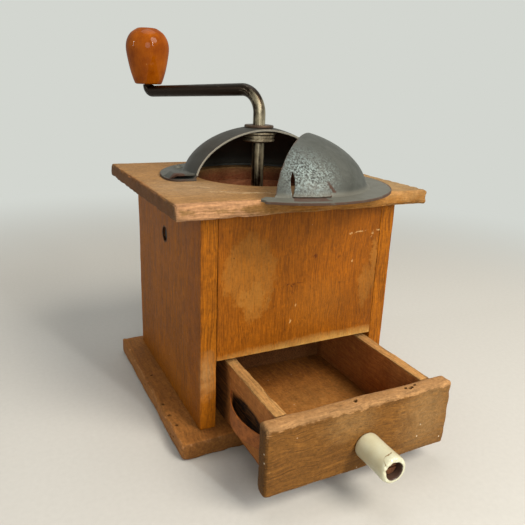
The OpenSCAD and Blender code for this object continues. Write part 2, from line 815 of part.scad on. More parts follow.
base_plate();
left_side();
right_side();
back_panel();
front_panel();
top_plate();
base_screws();
top_dowels();
side_screws();
hopper_bowl();
bowl_screws();
fixed_dome();
dome_screws();
swing_cover();
cover_pivot();
pivot_washer();
dome_bush();
bush_washer();
bush_nut();
crank_shaft();
crank_knob();
knob_washer();
inner_burr();
burr_pin();
outer_burr();
bridge();
bridge_screws();
adjusting_nut();
thrust_stud();
drawer_front();
drawer_left_side();
drawer_right_side();
drawer_back();
drawer_bottom();
drawer_knob();
drawer_knob_screw();
drawer_knob_nut();
drawer_spring();
spring_nails();
drawer_dowels();
drawer_nails();
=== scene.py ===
"""Old wooden box coffee mill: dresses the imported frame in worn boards, tinned sheet, steel and porcelain."""

import math

import bmesh
import bpy
from mathutils import Matrix, Vector, noise


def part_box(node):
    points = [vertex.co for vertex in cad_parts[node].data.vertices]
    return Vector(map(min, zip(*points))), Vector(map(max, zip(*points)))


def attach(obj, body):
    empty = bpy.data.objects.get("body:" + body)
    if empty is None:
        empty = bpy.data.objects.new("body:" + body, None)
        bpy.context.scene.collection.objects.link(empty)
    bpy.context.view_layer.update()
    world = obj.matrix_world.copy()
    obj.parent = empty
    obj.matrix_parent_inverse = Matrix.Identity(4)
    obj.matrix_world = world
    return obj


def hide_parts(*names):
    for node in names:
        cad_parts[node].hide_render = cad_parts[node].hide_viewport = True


bl_info = {
    "name": "Box coffee mill",
    "version": (1, 0, 0),
    "blender": (4, 5, 0),
    "location": "View3D > Sidebar > Coffee Mill",
    "description": "Builds the visible pieces of a worn wooden coffee mill round its packed frame",
    "category": "Add Mesh",
}

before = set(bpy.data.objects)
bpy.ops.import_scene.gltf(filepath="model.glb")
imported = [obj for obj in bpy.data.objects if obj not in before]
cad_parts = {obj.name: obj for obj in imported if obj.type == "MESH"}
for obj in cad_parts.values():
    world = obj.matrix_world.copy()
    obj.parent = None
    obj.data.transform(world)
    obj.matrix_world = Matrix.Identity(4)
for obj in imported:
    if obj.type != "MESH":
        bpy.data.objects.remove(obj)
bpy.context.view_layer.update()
MM = 0.001

# Places of the frame, in millimetres and degrees
PLATE_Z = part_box("top_plate")[1].z / MM
PIVOT = Vector((52.072, -23.184, 0))
PIVOT_R = 57
PIVOT_TURN = -24
FIXED_EYE_R = 7.4
COVER_EYE_R = 9
COVER_OPEN = 42
COVER_GAP = 0.6
DOME_R = 48.9
DOME_H = 32.0
DOME_POWER = 1.8
CROWN_SEAT = 1.1
FLANGE_R = 63.6
FLANGE_TUCK = 0.6
RIM_RUST = 2.5
COVER_FLANGE_R = FLANGE_R - 0.4
DOME_CUT = 11.7
TIP_HEART = Vector((-55.45, -3.7))
TIP_R = 8.0
LIP_TURN = -143.2
SHAFT_R = 4.0
ARM_AZ = 114
ARM_R = 110
ARM_RISE = 54
CASE_X = 64
FRONT_Y = -65.5
SCREW_Z = 115
HOLE_R = 40
OPEN_PLACE = (Matrix.Translation(PIVOT * MM) @ Matrix.Rotation(math.radians(COVER_OPEN), 4, "Z")
              @ Matrix.Translation(-PIVOT * MM))


def linear(code):
    """Turns an sRGB hex colour to the linear colour that the shaders take."""
    parts = [int(code[i:i + 2], 16) / 255 for i in (1, 3, 5)]
    return tuple(p / 12.92 if p <= 0.04045 else ((p + 0.055) / 1.055) ** 2.4 for p in parts) + (1.0,)


def colour(label, words, code):
    """A colour setting with its default given as an sRGB hex value."""
    return bpy.props.FloatVectorProperty(
        name=label, description=words, default=linear(code), subtype="COLOR", size=4, min=0, max=1)


def length(label, words, millimetres):
    """A length setting with its default given in millimetres."""
    return bpy.props.FloatProperty(
        name=label, description=words, default=millimetres * MM, min=0, unit="LENGTH", precision=5)


class MillSizes(bpy.types.PropertyGroup):
    """Lengths of the dressed mill that a user may change."""
    board_round: length("Board rounding", "Rounding of the edges of the case boards", 0.3)
    plate_round: length("Plate rounding", "Rounding of the edges of base and top", 2.1)
    front_round: length("Drawer front rounding", "Rounding of the edges of the drawer front", 2.4)
    chip: length("Edge chips", "Depth to which the edges are rubbed and chipped", 0.7)
    sheet: length("Sheet thickness", "Thickness of the tinned sheet of dome and cover", 1.2)
    lip_out: length("Lip opening", "How far the finger lip of the cover is pressed out", 1.2)
    foot_fillet: length("Dome foot", "Fillet between the dome and its flange", 2.4)


class MillColours(bpy.types.PropertyGroup):
    """Colours of the dressed mill that a user may change."""
    front_light: colour("Front board", "Lacquered front board, light grain", "#A35D0A")
    front_dark: colour("Front board grain", "Lacquered front board, dark grain", "#613205")
    front_thin: colour("Thin lacquer", "Front board where the lacquer is rubbed thin", "#A26E2C")
    side_light: colour("Side boards", "Lacquered side boards, light grain", "#A8620A")
    side_dark: colour("Side board grain", "Lacquered side boards, dark grain", "#6D3B06")
    base_light: colour("Base board", "Base board, light grain", "#A97137")
    base_dark: colour("Base board grain", "Base board, dark grain", "#7C4F25")
    top_light: colour("Top board", "Rubbed top board, light grain", "#A57E4D")
    top_dark: colour("Top board grain", "Rubbed top board, dark grain", "#765533")
    bare: colour("Bare wood", "Wood where the lacquer is rubbed off", "#B4875F")
    drawer_light: colour("Drawer front", "Drawer front, light grain", "#805624")
    drawer_dark: colour("Drawer front grain", "Drawer front, dark grain", "#5C3B16")
    drawer_bare: colour("Drawer front edge", "Rubbed edges of the drawer front", "#AC8254")
    wall_light: colour("Drawer walls", "Drawer walls, light grain", "#B97B40")
    wall_dark: colour("Drawer wall grain", "Drawer walls, dark grain", "#8A5026")
    floor_light: colour("Drawer floor", "Drawer floor, light grain", "#A0662C")
    floor_dark: colour("Drawer floor grain", "Drawer floor, dark grain", "#703F14")
    bowl_light: colour("Hopper wood", "Oiled hopper, light grain", "#C07C52")
    bowl_dark: colour("Hopper wood grain", "Oiled hopper, dark grain", "#8A5234")
    tin: colour("Tinned sheet", "Dull tin of dome and cover", "#4B4D47")
    tin_dark: colour("Tin patina", "Grey patina on the tin", "#3C3E38")
    # The spangle colour is also the painted highlight round the cover's lip
    tin_spangle_and_highlight: colour("Tin spangle", "Bright spangle where the tin is still sound", "#869593")
    rust: colour("Rust", "Rust along edges and on bare steel", "#482A19")
    steel: colour("Crank steel", "Browned steel of the crank", "#1E1206")
    # Also the painted highlight streaks on the upright of the crank
    steel_rubbed_and_highlight: colour("Rubbed steel", "Streaks of the crank that are rubbed bright", "#B3A88C")
    lacquer: colour("Grip lacquer", "Amber lacquer of the crank grip", "#9A5006")
    lacquer_dark: colour("Grip lacquer, deep", "Amber lacquer where it pooled", "#763502")
    porcelain: colour("Porcelain", "Yellowed glaze of the drawer knob", "#C9C9AE")
    backdrop: colour("Backdrop", "Pale studio background", "#D3D6D0")


# Mesh building

def ease(low, high, value):
    """Smooth step from 0 at low to 1 at high."""
    t = min(max((value - low) / (high - low), 0), 1)
    return t * t * (3 - 2 * t)


def even_lines(low, high, rounding, step):
    """Grid places along one side of a board, close together where the edge is rounded."""
    near = [0, 0.3 * rounding, 0.65 * rounding, 1.05 * rounding, 1.8 * rounding, 3.2 * rounding]
    near = [n for n in near if n < 0.42 * (high - low)]
    inner_low, inner_high = low + near[-1], high - near[-1]
    count = max(1, round((inner_high - inner_low) / step))
    inner = [inner_low + (inner_high - inner_low) * i / count for i in range(1, count)]
    return [low + n for n in near] + inner + [high - n for n in reversed(near)]


def worn_board(low, high, rounding, chip, grain, seed, step=3.2, torn=None, bared=None):
    """Closed skin of a board, in millimetres, its rounded edges rubbed and splintered along the grain.

    torn, where given, tells how much deeper than chip the edge is broken at a point, and bared the share of
    the finish that is rubbed off there.
    """
    lines = [even_lines(low[a], high[a], rounding, step) for a in range(3)]
    shape = bmesh.new()
    wear = shape.verts.layers.float.new("wear")
    shift = Vector((17.3, 5.9, 41.7)) * seed
    # Splinters about 4 mm across and 16 mm along the grain
    splinter = Vector((1 / 4, 1 / 4, 1 / 4))
    splinter[grain] = 1 / 16
    found = {}

    def corner(key):
        if key in found:
            return found[key]
        p = Vector(lines[a][key[a]] for a in range(3))
        core = Vector(min(max(p[a], low[a] + rounding), high[a] - rounding) for a in range(3))
        out = (p - core).normalized()
        depth = sorted(min(p[a] - low[a], high[a] - p[a]) for a in range(3))[1]
        edge = max(0.0, 1 - depth / (3 + 2 * rounding))
        place = Vector(p[a] * splinter[a] for a in range(3)) + shift
        rub = max(0.0, 0.32 + noise.noise(place) + 0.6 * noise.noise(place * 2.6))
        deep = chip * (1 + torn(p) if torn else 1)
        wave = 0.12 * (1 + noise.noise(p / 38 + shift))
        vert = shape.verts.new((core + out * (rounding - deep * rub * edge ** 2 - wave)) * MM)
        vert[wear] = edge * (bared(p) if bared else 0.3)
        found[key] = vert
        return vert

    spans = [len(lines[a]) - 1 for a in range(3)]
    for axis in range(3):
        u, v = (axis + 1) % 3, (axis + 2) % 3
        for end in (0, spans[axis]):
            for i in range(spans[u]):
                for j in range(spans[v]):
                    ring = []
                    for step_u, step_v in ((0, 0), (1, 0), (1, 1), (0, 1)):
                        key = [0, 0, 0]
                        key[axis], key[u], key[v] = end, i + step_u, j + step_v
                        ring.append(corner(tuple(key)))
                    shape.faces.new(ring if end else ring[::-1])
    return shape


def lathe(profile, segments=96, loop=False):
    """Surface turned about Z from (radius, height) pairs in millimetres; a pair on the axis closes an end."""
    shape = bmesh.new()
    turns = [2 * math.pi * i / segments for i in range(segments)]
    rings = []
    for radius, height in profile:
        if radius < 1e-6:
            rings.append([shape.verts.new((0, 0, height * MM))] * segments)
            continue
        rings.append([shape.verts.new((radius * math.cos(t) * MM, radius * math.sin(t) * MM, height * MM))
                      for t in turns])
    pairs = list(zip(rings, rings[1:]))
    if loop:
        pairs.append((rings[-1], rings[0]))
    for lower, upper in pairs:
        for i in range(segments):
            k = (i + 1) % segments
            corners = []
            for vert in (lower[i], lower[k], upper[k], upper[i]):
                if vert not in corners:
                    corners.append(vert)
            shape.faces.new(corners)
    bmesh.ops.recalc_face_normals(shape, faces=shape.faces)
    return shape


def smooth_line(points, parts):
    """Points on a smooth curve through the given (radius, height) pairs."""
    line = []
    for i in range(len(points) - 1):
        before = Vector(points[max(i - 1, 0)])
        start = Vector(points[i])
        end = Vector(points[i + 1])
        after = Vector(points[min(i + 2, len(points) - 1)])
        for k in range(parts):
            t = k / parts
            line.append(tuple(0.5 * (2 * start + (end - before) * t
                                     + (2 * before - 5 * start + 4 * end - after) * t ** 2
                                     + (3 * start - before - 3 * end + after) * t ** 3)))
    return line + [tuple(points[-1])]


def rod(path, sides=32):
    """Round rod through (point, radius) pairs in millimetres that lie in one upright plane.

    The layer "lay" keeps each point's run along the rod and its place round it, so that marks can follow the
    bends.
    """
    shape = bmesh.new()
    lay = shape.verts.layers.float_vector.new("lay")
    across = Vector((0, 1, 0))
    rings = []
    run = 0.0
    for i, (point, radius) in enumerate(path):
        ahead = Vector(path[min(i + 1, len(path) - 1)][0]) - Vector(path[max(i - 1, 0)][0])
        up = ahead.normalized().cross(across)
        if i:
            run += (Vector(point) - Vector(path[i - 1][0])).length
        ring = []
        for k in range(sides):
            turn = 2 * math.pi * k / sides
            out = math.cos(turn) * up + math.sin(turn) * across
            vert = shape.verts.new((Vector(point) + radius * out) * MM)
            vert[lay] = (run, radius * math.cos(turn), radius * math.sin(turn))
            ring.append(vert)
        rings.append(ring)
    for lower, upper in zip(rings, rings[1:]):
        for k in range(sides):
            m = (k + 1) % sides
            shape.faces.new((lower[k], lower[m], upper[m], upper[k]))
    shape.faces.new(rings[0])
    shape.faces.new(rings[-1])
    bmesh.ops.recalc_face_normals(shape, faces=shape.faces)
    return shape


def patch(shape, rows, wear_of):
    """Adds a grid of faces through rows of points in millimetres; wear_of gives each point's wear."""
    wear = shape.verts.layers.float.get("wear") or shape.verts.layers.float.new("wear")
    grid = []
    for row in rows:
        line = []
        for point in row:
            vert = shape.verts.new(Vector(point) * MM)
            vert[wear] = wear_of(Vector(point))
            line.append(vert)
        grid.append(line)
    for low_row, high_row in zip(grid, grid[1:]):
        for a, b, c, d in zip(low_row, low_row[1:], high_row[1:], high_row):
            shape.faces.new((a, b, c, d))


def piece(name, shape, body, nodes, finish, place=None, sharp=38):
    """Makes the mesh an object that rides on a body and stands for its nodes."""
    if place is not None:
        bmesh.ops.transform(shape, matrix=place, verts=shape.verts)
    mesh = bpy.data.meshes.new(name)
    shape.to_mesh(mesh)
    shape.free()
    mesh.shade_smooth()
    mesh.set_sharp_from_angle(angle=math.radians(sharp))
    mesh.materials.append(finish)
    made = bpy.data.objects.new(name, mesh)
    bpy.context.scene.collection.objects.link(made)
    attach(made, body)
    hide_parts(*nodes)
    return made


def cut_away(made, cutter, sharp=38):
    """Cuts the cutter's shape from a piece for good."""
    mesh = bpy.data.meshes.new("cutter")
    cutter.to_mesh(mesh)
    cutter.free()
    tool = bpy.data.objects.new("cutter", mesh)
    bpy.context.scene.collection.objects.link(tool)
    change = made.modifiers.new("cut", "BOOLEAN")
    change.operation = "DIFFERENCE"
    change.solver = "EXACT"
    change.use_self = True
    change.object = tool
    settle(made)
    bpy.data.objects.remove(tool)
    made.data.shade_smooth()
    made.data.set_sharp_from_angle(angle=math.radians(sharp))


def settle(made):
    """Applies a piece's modifiers to its mesh."""
    bpy.context.view_layer.update()
    graph = bpy.context.evaluated_depsgraph_get()
    made.data = bpy.data.meshes.new_from_object(made.evaluated_get(graph))
    made.modifiers.clear()


def thicken(made, sheet):
    """Gives an open sheet its thickness, inward, with a slightly broken rim."""
    solid = made.modifiers.new("sheet", "SOLIDIFY")
    solid.thickness = sheet
    solid.offset = -1
    solid.use_even_offset = True
    rim = made.modifiers.new("rim", "BEVEL")
    rim.width = 0.22 * MM
    rim.segments = 2
    rim.limit_method = "ANGLE"
    rim.angle_limit = math.radians(50)
    settle(made)
    made.data.set_sharp_from_angle(angle=math.radians(60))


def holes(places, radius, depth, direction):
    """Several round cutters, each starting a little outside its place, along one direction."""
    shape = bmesh.new()
    turn = Vector((0, 0, 1)).rotation_difference(Vector(direction)).to_matrix().to_4x4()
    inward = Matrix.Translation((0, 0, (depth / 2 - 1) * MM))
    for place in places:
        size = radius * (1 + 0.25 * noise.noise(Vector(place) * 0.37))
        spot = Matrix.Translation(Vector(place) * MM) @ turn @ inward
        bmesh.ops.create_cone(shape, cap_ends=True, segments=14, radius1=size * MM, radius2=size * MM,
                              depth=depth * MM, matrix=spot)
    return shape


# Materials

def add(tree, kind, inputs=None, **settings):
    """Adds one node with its settings, and links or sets its inputs."""
    node = tree.nodes.new(kind)
    for key, value in settings.items():
        setattr(node, key, value)
    for key, value in (inputs or {}).items():
        if isinstance(value, bpy.types.NodeSocket):
            tree.links.new(value, node.inputs[key])
        else:
            node.inputs[key].default_value = value
    return node


def empty_tree(name):
    """A new material with nothing but its output node."""
    finish = bpy.data.materials.new(name)
    finish.use_nodes = True
    finish.node_tree.nodes.clear()
    return finish, finish.node_tree


def close(tree, shader):
    """Joins the shader to the material output."""
    add(tree, "ShaderNodeOutputMaterial", {"Surface": shader.outputs[0]})


def line_distance(tree, spot, start, end):
    """Distance of each point from a straight line between two places in millimetres."""
    along = (Vector(end) - Vector(start)) * MM
    way = add(tree, "ShaderNodeVectorMath", {0: spot, 1: Vector(start) * MM}, operation="SUBTRACT").outputs[0]
    share = add(tree, "ShaderNodeVectorMath", {0: way, 1: along / along.length_squared},
                operation="DOT_PRODUCT").outputs["Value"]
    share = add(tree, "ShaderNodeClamp", {0: share}).outputs[0]
    share = add(tree, "ShaderNodeVectorMath", {0: along, "Scale": share}, operation="SCALE").outputs[0]
    return add(tree, "ShaderNodeVectorMath", {0: way, 1: share}, operation="DISTANCE").outputs["Value"]


def old_wood(name, tones, grain, seed, lacquer, fibre=(0.9, 24), depth=0.6, figure=3.0, mottle=0.1,
             specks=0.0, rough=0.5, ends=0.62, rubbed=(), scratches=()):
    """Old planed beech: fibres and pores along the grain, lacquer or wax rubbed thin and gone at the edges.

    tones are the light, dark and bare colours, grain the axis of the fibres, lacquer from 0 bare to 1 whole,
    fibre the size of a fibre across and along it and figure how far the grain wanders, in mm, ends the shade
    of end grain. rubbed lists (centre, radii, strength, colour, softness, raggedness), and scratches lists
    (start, end, width, colour).
    """
    light, dark, bare = tones
    finish, tree = empty_tree(name)
    place = add(tree, "ShaderNodeTexCoord").outputs
    spot = place["Object"]
    # From here on the pattern runs in millimetres
    moved = add(tree, "ShaderNodeVectorMath", {0: spot, 1: (1000, 1000, 1000),
                                               2: (310 * seed, 170 * seed, 230 * seed)},
                operation="MULTIPLY_ADD").outputs[0]
    sway = add(tree, "ShaderNodeTexNoise", {"Vector": moved, "Scale": 1 / 30, "Detail": 2.0}).outputs["Color"]
    sway = add(tree, "ShaderNodeVectorMath", {0: sway, 1: (-0.5, -0.5, -0.5)}).outputs[0]
    bent = add(tree, "ShaderNodeVectorMath", {0: sway, 1: (2 * figure,) * 3, 2: moved},
               operation="MULTIPLY_ADD").outputs[0]
    # Real fibres are finer than a pixel and are drawn coarser; pores 0.6 mm wide, tone streaks 6 mm
    layers = []
    for across, along, detail, low, high in ((*fibre, 5.0, 0.37, 0.63), (0.6, 5, 1.0, 0.60, 0.72),
                                             (6, 130, 3.0, 0.36, 0.64)):
        scale = [1 / across] * 3
        scale[grain] = 1 / along
        drawn = add(tree, "ShaderNodeVectorMath", {0: bent, 1: scale}, operation="MULTIPLY").outputs[0]
        drawn = add(tree, "ShaderNodeTexNoise", {"Vector": drawn, "Scale": 1.0, "Detail": detail,
                                                 "Roughness": 0.62}).outputs["Fac"]
        layers.append(add(tree, "ShaderNodeMapRange", {"Value": drawn, 1: low, 2: high}).outputs[0])
    strand, pore, streak = layers
    ragged = add(tree, "ShaderNodeTexNoise", {"Vector": moved, "Scale": 1 / 6, "Detail": 7.0,
                                              "Roughness": 0.68}).outputs
    blotch = add(tree, "ShaderNodeTexNoise", {"Vector": moved, "Scale": 1 / 36, "Detail": 5.0,
                                              "Roughness": 0.6}).outputs["Fac"]
    tone = add(tree, "ShaderNodeMath", {0: streak, 1: 0.18 * depth, 2: 0.5 - 0.5 * depth},
               operation="MULTIPLY_ADD").outputs[0]
    tone = add(tree, "ShaderNodeMath", {0: strand, 1: 0.82 * depth, 2: tone},
               operation="MULTIPLY_ADD").outputs[0]
    skin = add(tree, "ShaderNodeMix", {0: tone, 6: dark, 7: light}, data_type="RGBA").outputs[2]

    # Where the lacquer is rubbed thin, with a scalloped rim
    spread = add(tree, "ShaderNodeVectorMath", {0: ragged["Color"], 1: (-0.5, -0.5, -0.5)}).outputs[0]
    thick = add(tree, "ShaderNodeMapRange", {"Value": strand, 3: 1.15, 4: 0.7}).outputs[0]
    for centre, radii, strength, tint, soft, rim in rubbed:
        near = add(tree, "ShaderNodeVectorMath", {0: spread, 1: (rim * MM,) * 3, 2: spot},
                   operation="MULTIPLY_ADD").outputs[0]
        near = add(tree, "ShaderNodeVectorMath", {0: near, 1: Vector(centre) * MM},
                   operation="SUBTRACT").outputs[0]
        near = add(tree, "ShaderNodeVectorMath", {0: near, 1: [1 / (r * MM) for r in radii]},
                   operation="MULTIPLY").outputs[0]
        near = add(tree, "ShaderNodeVectorMath", {0: near}, operation="LENGTH").outputs["Value"]
        near = add(tree, "ShaderNodeMapRange",
                   {"Value": near, 1: 1 + soft, 2: 1 - soft, 4: strength}).outputs[0]
        near = add(tree, "ShaderNodeMath", {0: near, 1: thick}, operation="MULTIPLY",
                   use_clamp=True).outputs[0]
        skin = add(tree, "ShaderNodeMix", {0: near, 6: skin, 7: tint}, data_type="RGBA").outputs[2]

    # Where it is gone: along edges, broken up by the fibres
    worn = add(tree, "ShaderNodeAttribute", attribute_name="wear").outputs["Fac"]
    worn = add(tree, "ShaderNodeMath", {0: ragged["Fac"], 1: 1.5, 2: worn},
               operation="MULTIPLY_ADD").outputs[0]
    worn = add(tree, "ShaderNodeMath", {0: strand, 1: 0.22, 2: worn}, operation="MULTIPLY_ADD").outputs[0]
    gone = add(tree, "ShaderNodeMapRange", {"Value": worn, 1: 0.92 + 0.5 * lacquer, 2: 1.27 + 0.5 * lacquer},
               interpolation_type="SMOOTHSTEP").outputs[0]
    drab = tuple(0.6 * c for c in bare[:3]) + (1.0,)
    pale = add(tree, "ShaderNodeMix", {0: strand, 6: drab, 7: bare}, data_type="RGBA").outputs[2]
    skin = add(tree, "ShaderNodeMix", {0: gone, 6: skin, 7: pale}, data_type="RGBA").outputs[2]

    # Scratches, broken where the tool skipped
    shaky = add(tree, "ShaderNodeVectorMath", {0: spread, 1: (0.006, 0.006, 0.006), 2: spot},
                operation="MULTIPLY_ADD").outputs[0]
    skip = add(tree, "ShaderNodeMapRange", {"Value": ragged["Fac"], 1: 0.36, 2: 0.52, 4: 0.75}).outputs[0]
    for start, end, width, tint in scratches:
        off = line_distance(tree, shaky, start, end)
        line = add(tree, "ShaderNodeMapRange", {"Value": off, 1: width * MM, 2: 0.35 * width * MM}).outputs[0]
        line = add(tree, "ShaderNodeMath", {0: line, 1: skip}, operation="MULTIPLY").outputs[0]
        skin = add(tree, "ShaderNodeMix", {0: line, 6: skin, 7: tint}, data_type="RGBA").outputs[2]

    # Dirt in the pores, and stray specks about 0.7 mm across: most are dark, some pale
    soot = tuple(0.25 * c for c in dark[:3]) + (1.0,)
    dirt = add(tree, "ShaderNodeMath", {0: pore, 1: 0.30}, operation="MULTIPLY").outputs[0]
    skin = add(tree, "ShaderNodeMix", {0: dirt, 6: skin, 7: soot}, data_type="RGBA").outputs[2]
    speck = add(tree, "ShaderNodeTexVoronoi", {"Vector": moved, "Scale": 1 / 8}).outputs
    fleck = add(tree, "ShaderNodeMapRange",
                {"Value": speck["Distance"], 1: 0.075, 2: 0.035, 4: specks}).outputs[0]
    choice = add(tree, "ShaderNodeSeparateColor", {0: speck["Color"]}).outputs
    shown = add(tree, "ShaderNodeMapRange", {"Value": choice[0], 1: 0.50, 2: 0.52}).outputs[0]
    fleck = add(tree, "ShaderNodeMath", {0: fleck, 1: shown}, operation="MULTIPLY").outputs[0]
    kind = add(tree, "ShaderNodeMapRange", {"Value": choice[1], 1: 0.60, 2: 0.62}).outputs[0]
    kind = add(tree, "ShaderNodeMix", {0: kind, 6: soot, 7: linear("#DCCBAE")}, data_type="RGBA").outputs[2]
    skin = add(tree, "ShaderNodeMix", {0: fleck, 6: skin, 7: kind}, data_type="RGBA").outputs[2]

    # Cloudy shade 36 mm wide, smears 6 mm, mottle 1.6 mm, and darker end grain
    shade = add(tree, "ShaderNodeMapRange", {"Value": blotch, 1: 0.34, 2: 0.64, 3: 0.84, 4: 1.08}).outputs[0]
    fleece = add(tree, "ShaderNodeTexNoise",
                 {"Vector": moved, "Scale": 1 / 1.6, "Detail": 3.0}).outputs["Fac"]
    fleece = add(tree, "ShaderNodeMapRange", {"Value": fleece, 1: 0.35, 2: 0.65, 3: 1 - mottle,
                                              4: 1 + mottle}).outputs[0]
    shade = add(tree, "ShaderNodeMath", {0: shade, 1: fleece}, operation="MULTIPLY").outputs[0]
    smear = add(tree, "ShaderNodeMapRange", {"Value": ragged["Fac"], 1: 0.35, 2: 0.65, 3: 1 - mottle,
                                             4: 1 + mottle}).outputs[0]
    shade = add(tree, "ShaderNodeMath", {0: shade, 1: smear}, operation="MULTIPLY").outputs[0]
    across = [0, 0, 0]
    across[grain] = 1
    butt = add(tree, "ShaderNodeVectorMath", {0: place["Normal"], 1: across},
               operation="DOT_PRODUCT").outputs["Value"]
    butt = add(tree, "ShaderNodeMath", {0: butt}, operation="ABSOLUTE").outputs[0]
    butt = add(tree, "ShaderNodeMapRange", {"Value": butt, 1: 0.40, 2: 0.75, 3: 1.0, 4: ends}).outputs[0]
    shade = add(tree, "ShaderNodeMath", {0: shade, 1: butt}, operation="MULTIPLY").outputs[0]
    skin = add(tree, "ShaderNodeVectorMath", {0: skin, "Scale": shade}, operation="SCALE").outputs[0]

    gloss = add(tree, "ShaderNodeMapRange", {"Value": gone, 3: rough, 4: 0.74}).outputs[0]
    gloss = add(tree, "ShaderNodeMath", {0: strand, 1: 0.12, 2: gloss}, operation="MULTIPLY_ADD").outputs[0]
    relief = add(tree, "ShaderNodeMath", {0: pore, 1: -0.8, 2: strand}, operation="MULTIPLY_ADD").outputs[0]
    relief = add(tree, "ShaderNodeMath", {0: ragged["Fac"], 1: 1.2, 2: relief},
                 operation="MULTIPLY_ADD").outputs[0]
    relief = add(tree, "ShaderNodeBump", {"Height": relief, "Strength": 0.6, "Distance": 0.2 * MM}).outputs[0]
    close(tree, add(tree, "ShaderNodeBsdfPrincipled", {
        "Base Color": skin, "Roughness": gloss, "Normal": relief, "Specular IOR Level": 0.14}))
    return finish


def tinned_sheet(name, tones, soot):
    """Hot-tinned steel sheet gone dull: clouded greys, pitted bright spangle by the lip under a painted
    highlight, rust on cut edges.

    soot is how much painted shade darkens the dome above its flange; it also makes the flange less pale.
    """
    finish, tree = empty_tree(name)
    spot = add(tree, "ShaderNodeTexCoord").outputs["Object"]
    # Clouds about 10 mm across; the pits are about 0.5 mm and are drawn 1.1 mm wide so that they show
    cloud = add(tree, "ShaderNodeTexNoise", {"Vector": spot, "Scale": 1 / (10 * MM), "Detail": 6.0,
                                             "Roughness": 0.66, "Distortion": 0.6}).outputs["Fac"]
    pits = add(tree, "ShaderNodeTexNoise", {"Vector": spot, "Scale": 1 / (1.1 * MM), "Detail": 2.0,
                                            "Roughness": 0.6, "Distortion": 0.5}).outputs["Fac"]
    patina = add(tree, "ShaderNodeMapRange", {"Value": cloud, 1: 0.36, 2: 0.64}).outputs[0]
    skin = add(tree, "ShaderNodeMix", {0: patina, 6: tones.tin_dark, 7: tones.tin},
               data_type="RGBA").outputs[2]
    # Sound tin round the upper left of the lip, on the cover as it stands at rest: the pits are the tin's own,
    # and their brightness fading out from the centre is a painted highlight
    turn = math.radians(LIP_TURN - 2)
    heart = Vector((44 * math.cos(turn), 44 * math.sin(turn), PLATE_Z + 16)) * MM
    near = add(tree, "ShaderNodeVectorMath", {0: spot, 1: OPEN_PLACE @ heart},
               operation="DISTANCE").outputs["Value"]
    near = add(tree, "ShaderNodeMath", {0: cloud, 1: 0.03, 2: near}, operation="MULTIPLY_ADD").outputs[0]
    near = add(tree, "ShaderNodeMapRange", {"Value": near, 1: 0.040, 2: 0.012},
               interpolation_type="SMOOTHSTEP").outputs[0]
    bright = add(tree, "ShaderNodeMapRange", {"Value": pits, 1: 0.42, 2: 0.66, 4: 0.95}).outputs[0]
    bright = add(tree, "ShaderNodeMath", {0: bright, 1: near}, operation="MULTIPLY").outputs[0]
    skin = add(tree, "ShaderNodeMix", {0: bright, 6: skin, 7: tones.tin_spangle_and_highlight}, data_type="RGBA").outputs[2]
    black = add(tree, "ShaderNodeMapRange", {"Value": pits, 1: 0.45, 2: 0.38}).outputs[0]
    deep = add(tree, "ShaderNodeMapRange", {"Value": near, 3: 0.14, 4: 0.9}).outputs[0]
    black = add(tree, "ShaderNodeMath", {0: black, 1: deep}, operation="MULTIPLY").outputs[0]
    skin = add(tree, "ShaderNodeMix", {0: black, 6: skin, 7: linear("#1F2425")}, data_type="RGBA").outputs[2]
    # The flange is rubbed paler than the dome above it
    height = add(tree, "ShaderNodeSeparateXYZ", {0: spot}).outputs[2]
    pale = add(tree, "ShaderNodeMapRange", {"Value": height, 1: (PLATE_Z + 5) * MM, 2: (PLATE_Z + 3) * MM,
                                            4: 0.5 * (1 - soot)}).outputs[0]
    skin = add(tree, "ShaderNodeMix", {0: pale, 6: skin, 7: linear("#706D60")}, data_type="RGBA").outputs[2]
    # Painted shade: the dome is darkened above its flange by the soot amount
    rise = add(tree, "ShaderNodeMapRange", {"Value": height, 1: (PLATE_Z + 3) * MM, 2: (PLATE_Z + 7) * MM,
                                            3: 0.25 * soot, 4: soot}).outputs[0]
    skin = add(tree, "ShaderNodeMix", {0: rise, 6: skin, 7: linear("#2A251E")}, data_type="RGBA").outputs[2]
    worn = add(tree, "ShaderNodeAttribute", attribute_name="wear").outputs["Fac"]
    worn = add(tree, "ShaderNodeMath", {0: cloud, 1: 1.4, 2: worn}, operation="MULTIPLY_ADD").outputs[0]
    rusty = add(tree, "ShaderNodeMapRange", {"Value": worn, 1: 1.28, 2: 1.62, 4: 0.92}).outputs[0]
    brown = add(tree, "ShaderNodeMix", {0: pits, 6: linear("#38200F"), 7: tones.rust},
                data_type="RGBA").outputs[2]
    skin = add(tree, "ShaderNodeMix", {0: rusty, 6: skin, 7: brown}, data_type="RGBA").outputs[2]
    # The sheared edges of the two halves are rubbed bright
    cut = add(tree, "ShaderNodeAttribute", attribute_name="cut").outputs["Fac"]
    cut = add(tree, "ShaderNodeMapRange", {"Value": cut, 1: 0.90, 2: 0.96}).outputs[0]
    skin = add(tree, "ShaderNodeMix", {0: cut, 6: skin, 7: linear("#8A877A")}, data_type="RGBA").outputs[2]
    metal = add(tree, "ShaderNodeMapRange", {"Value": rusty, 3: 0.40, 4: 0.05}).outputs[0]
    rough = add(tree, "ShaderNodeMapRange", {"Value": cloud, 1: 0.3, 2: 0.7, 3: 0.62, 4: 0.50}).outputs[0]
    rough = add(tree, "ShaderNodeMath", {0: rusty, 1: 0.3, 2: rough}, operation="MULTIPLY_ADD").outputs[0]
    relief = add(tree, "ShaderNodeMath", {0: cloud, 1: 1.4, 2: pits}, operation="MULTIPLY_ADD").outputs[0]
    relief = add(tree, "ShaderNodeBump",
                 {"Height": relief, "Strength": 0.45, "Distance": 0.16 * MM}).outputs[0]
    close(tree, add(tree, "ShaderNodeBsdfPrincipled", {
        "Base Color": skin, "Metallic": metal, "Roughness": rough, "Normal": relief}))
    return finish


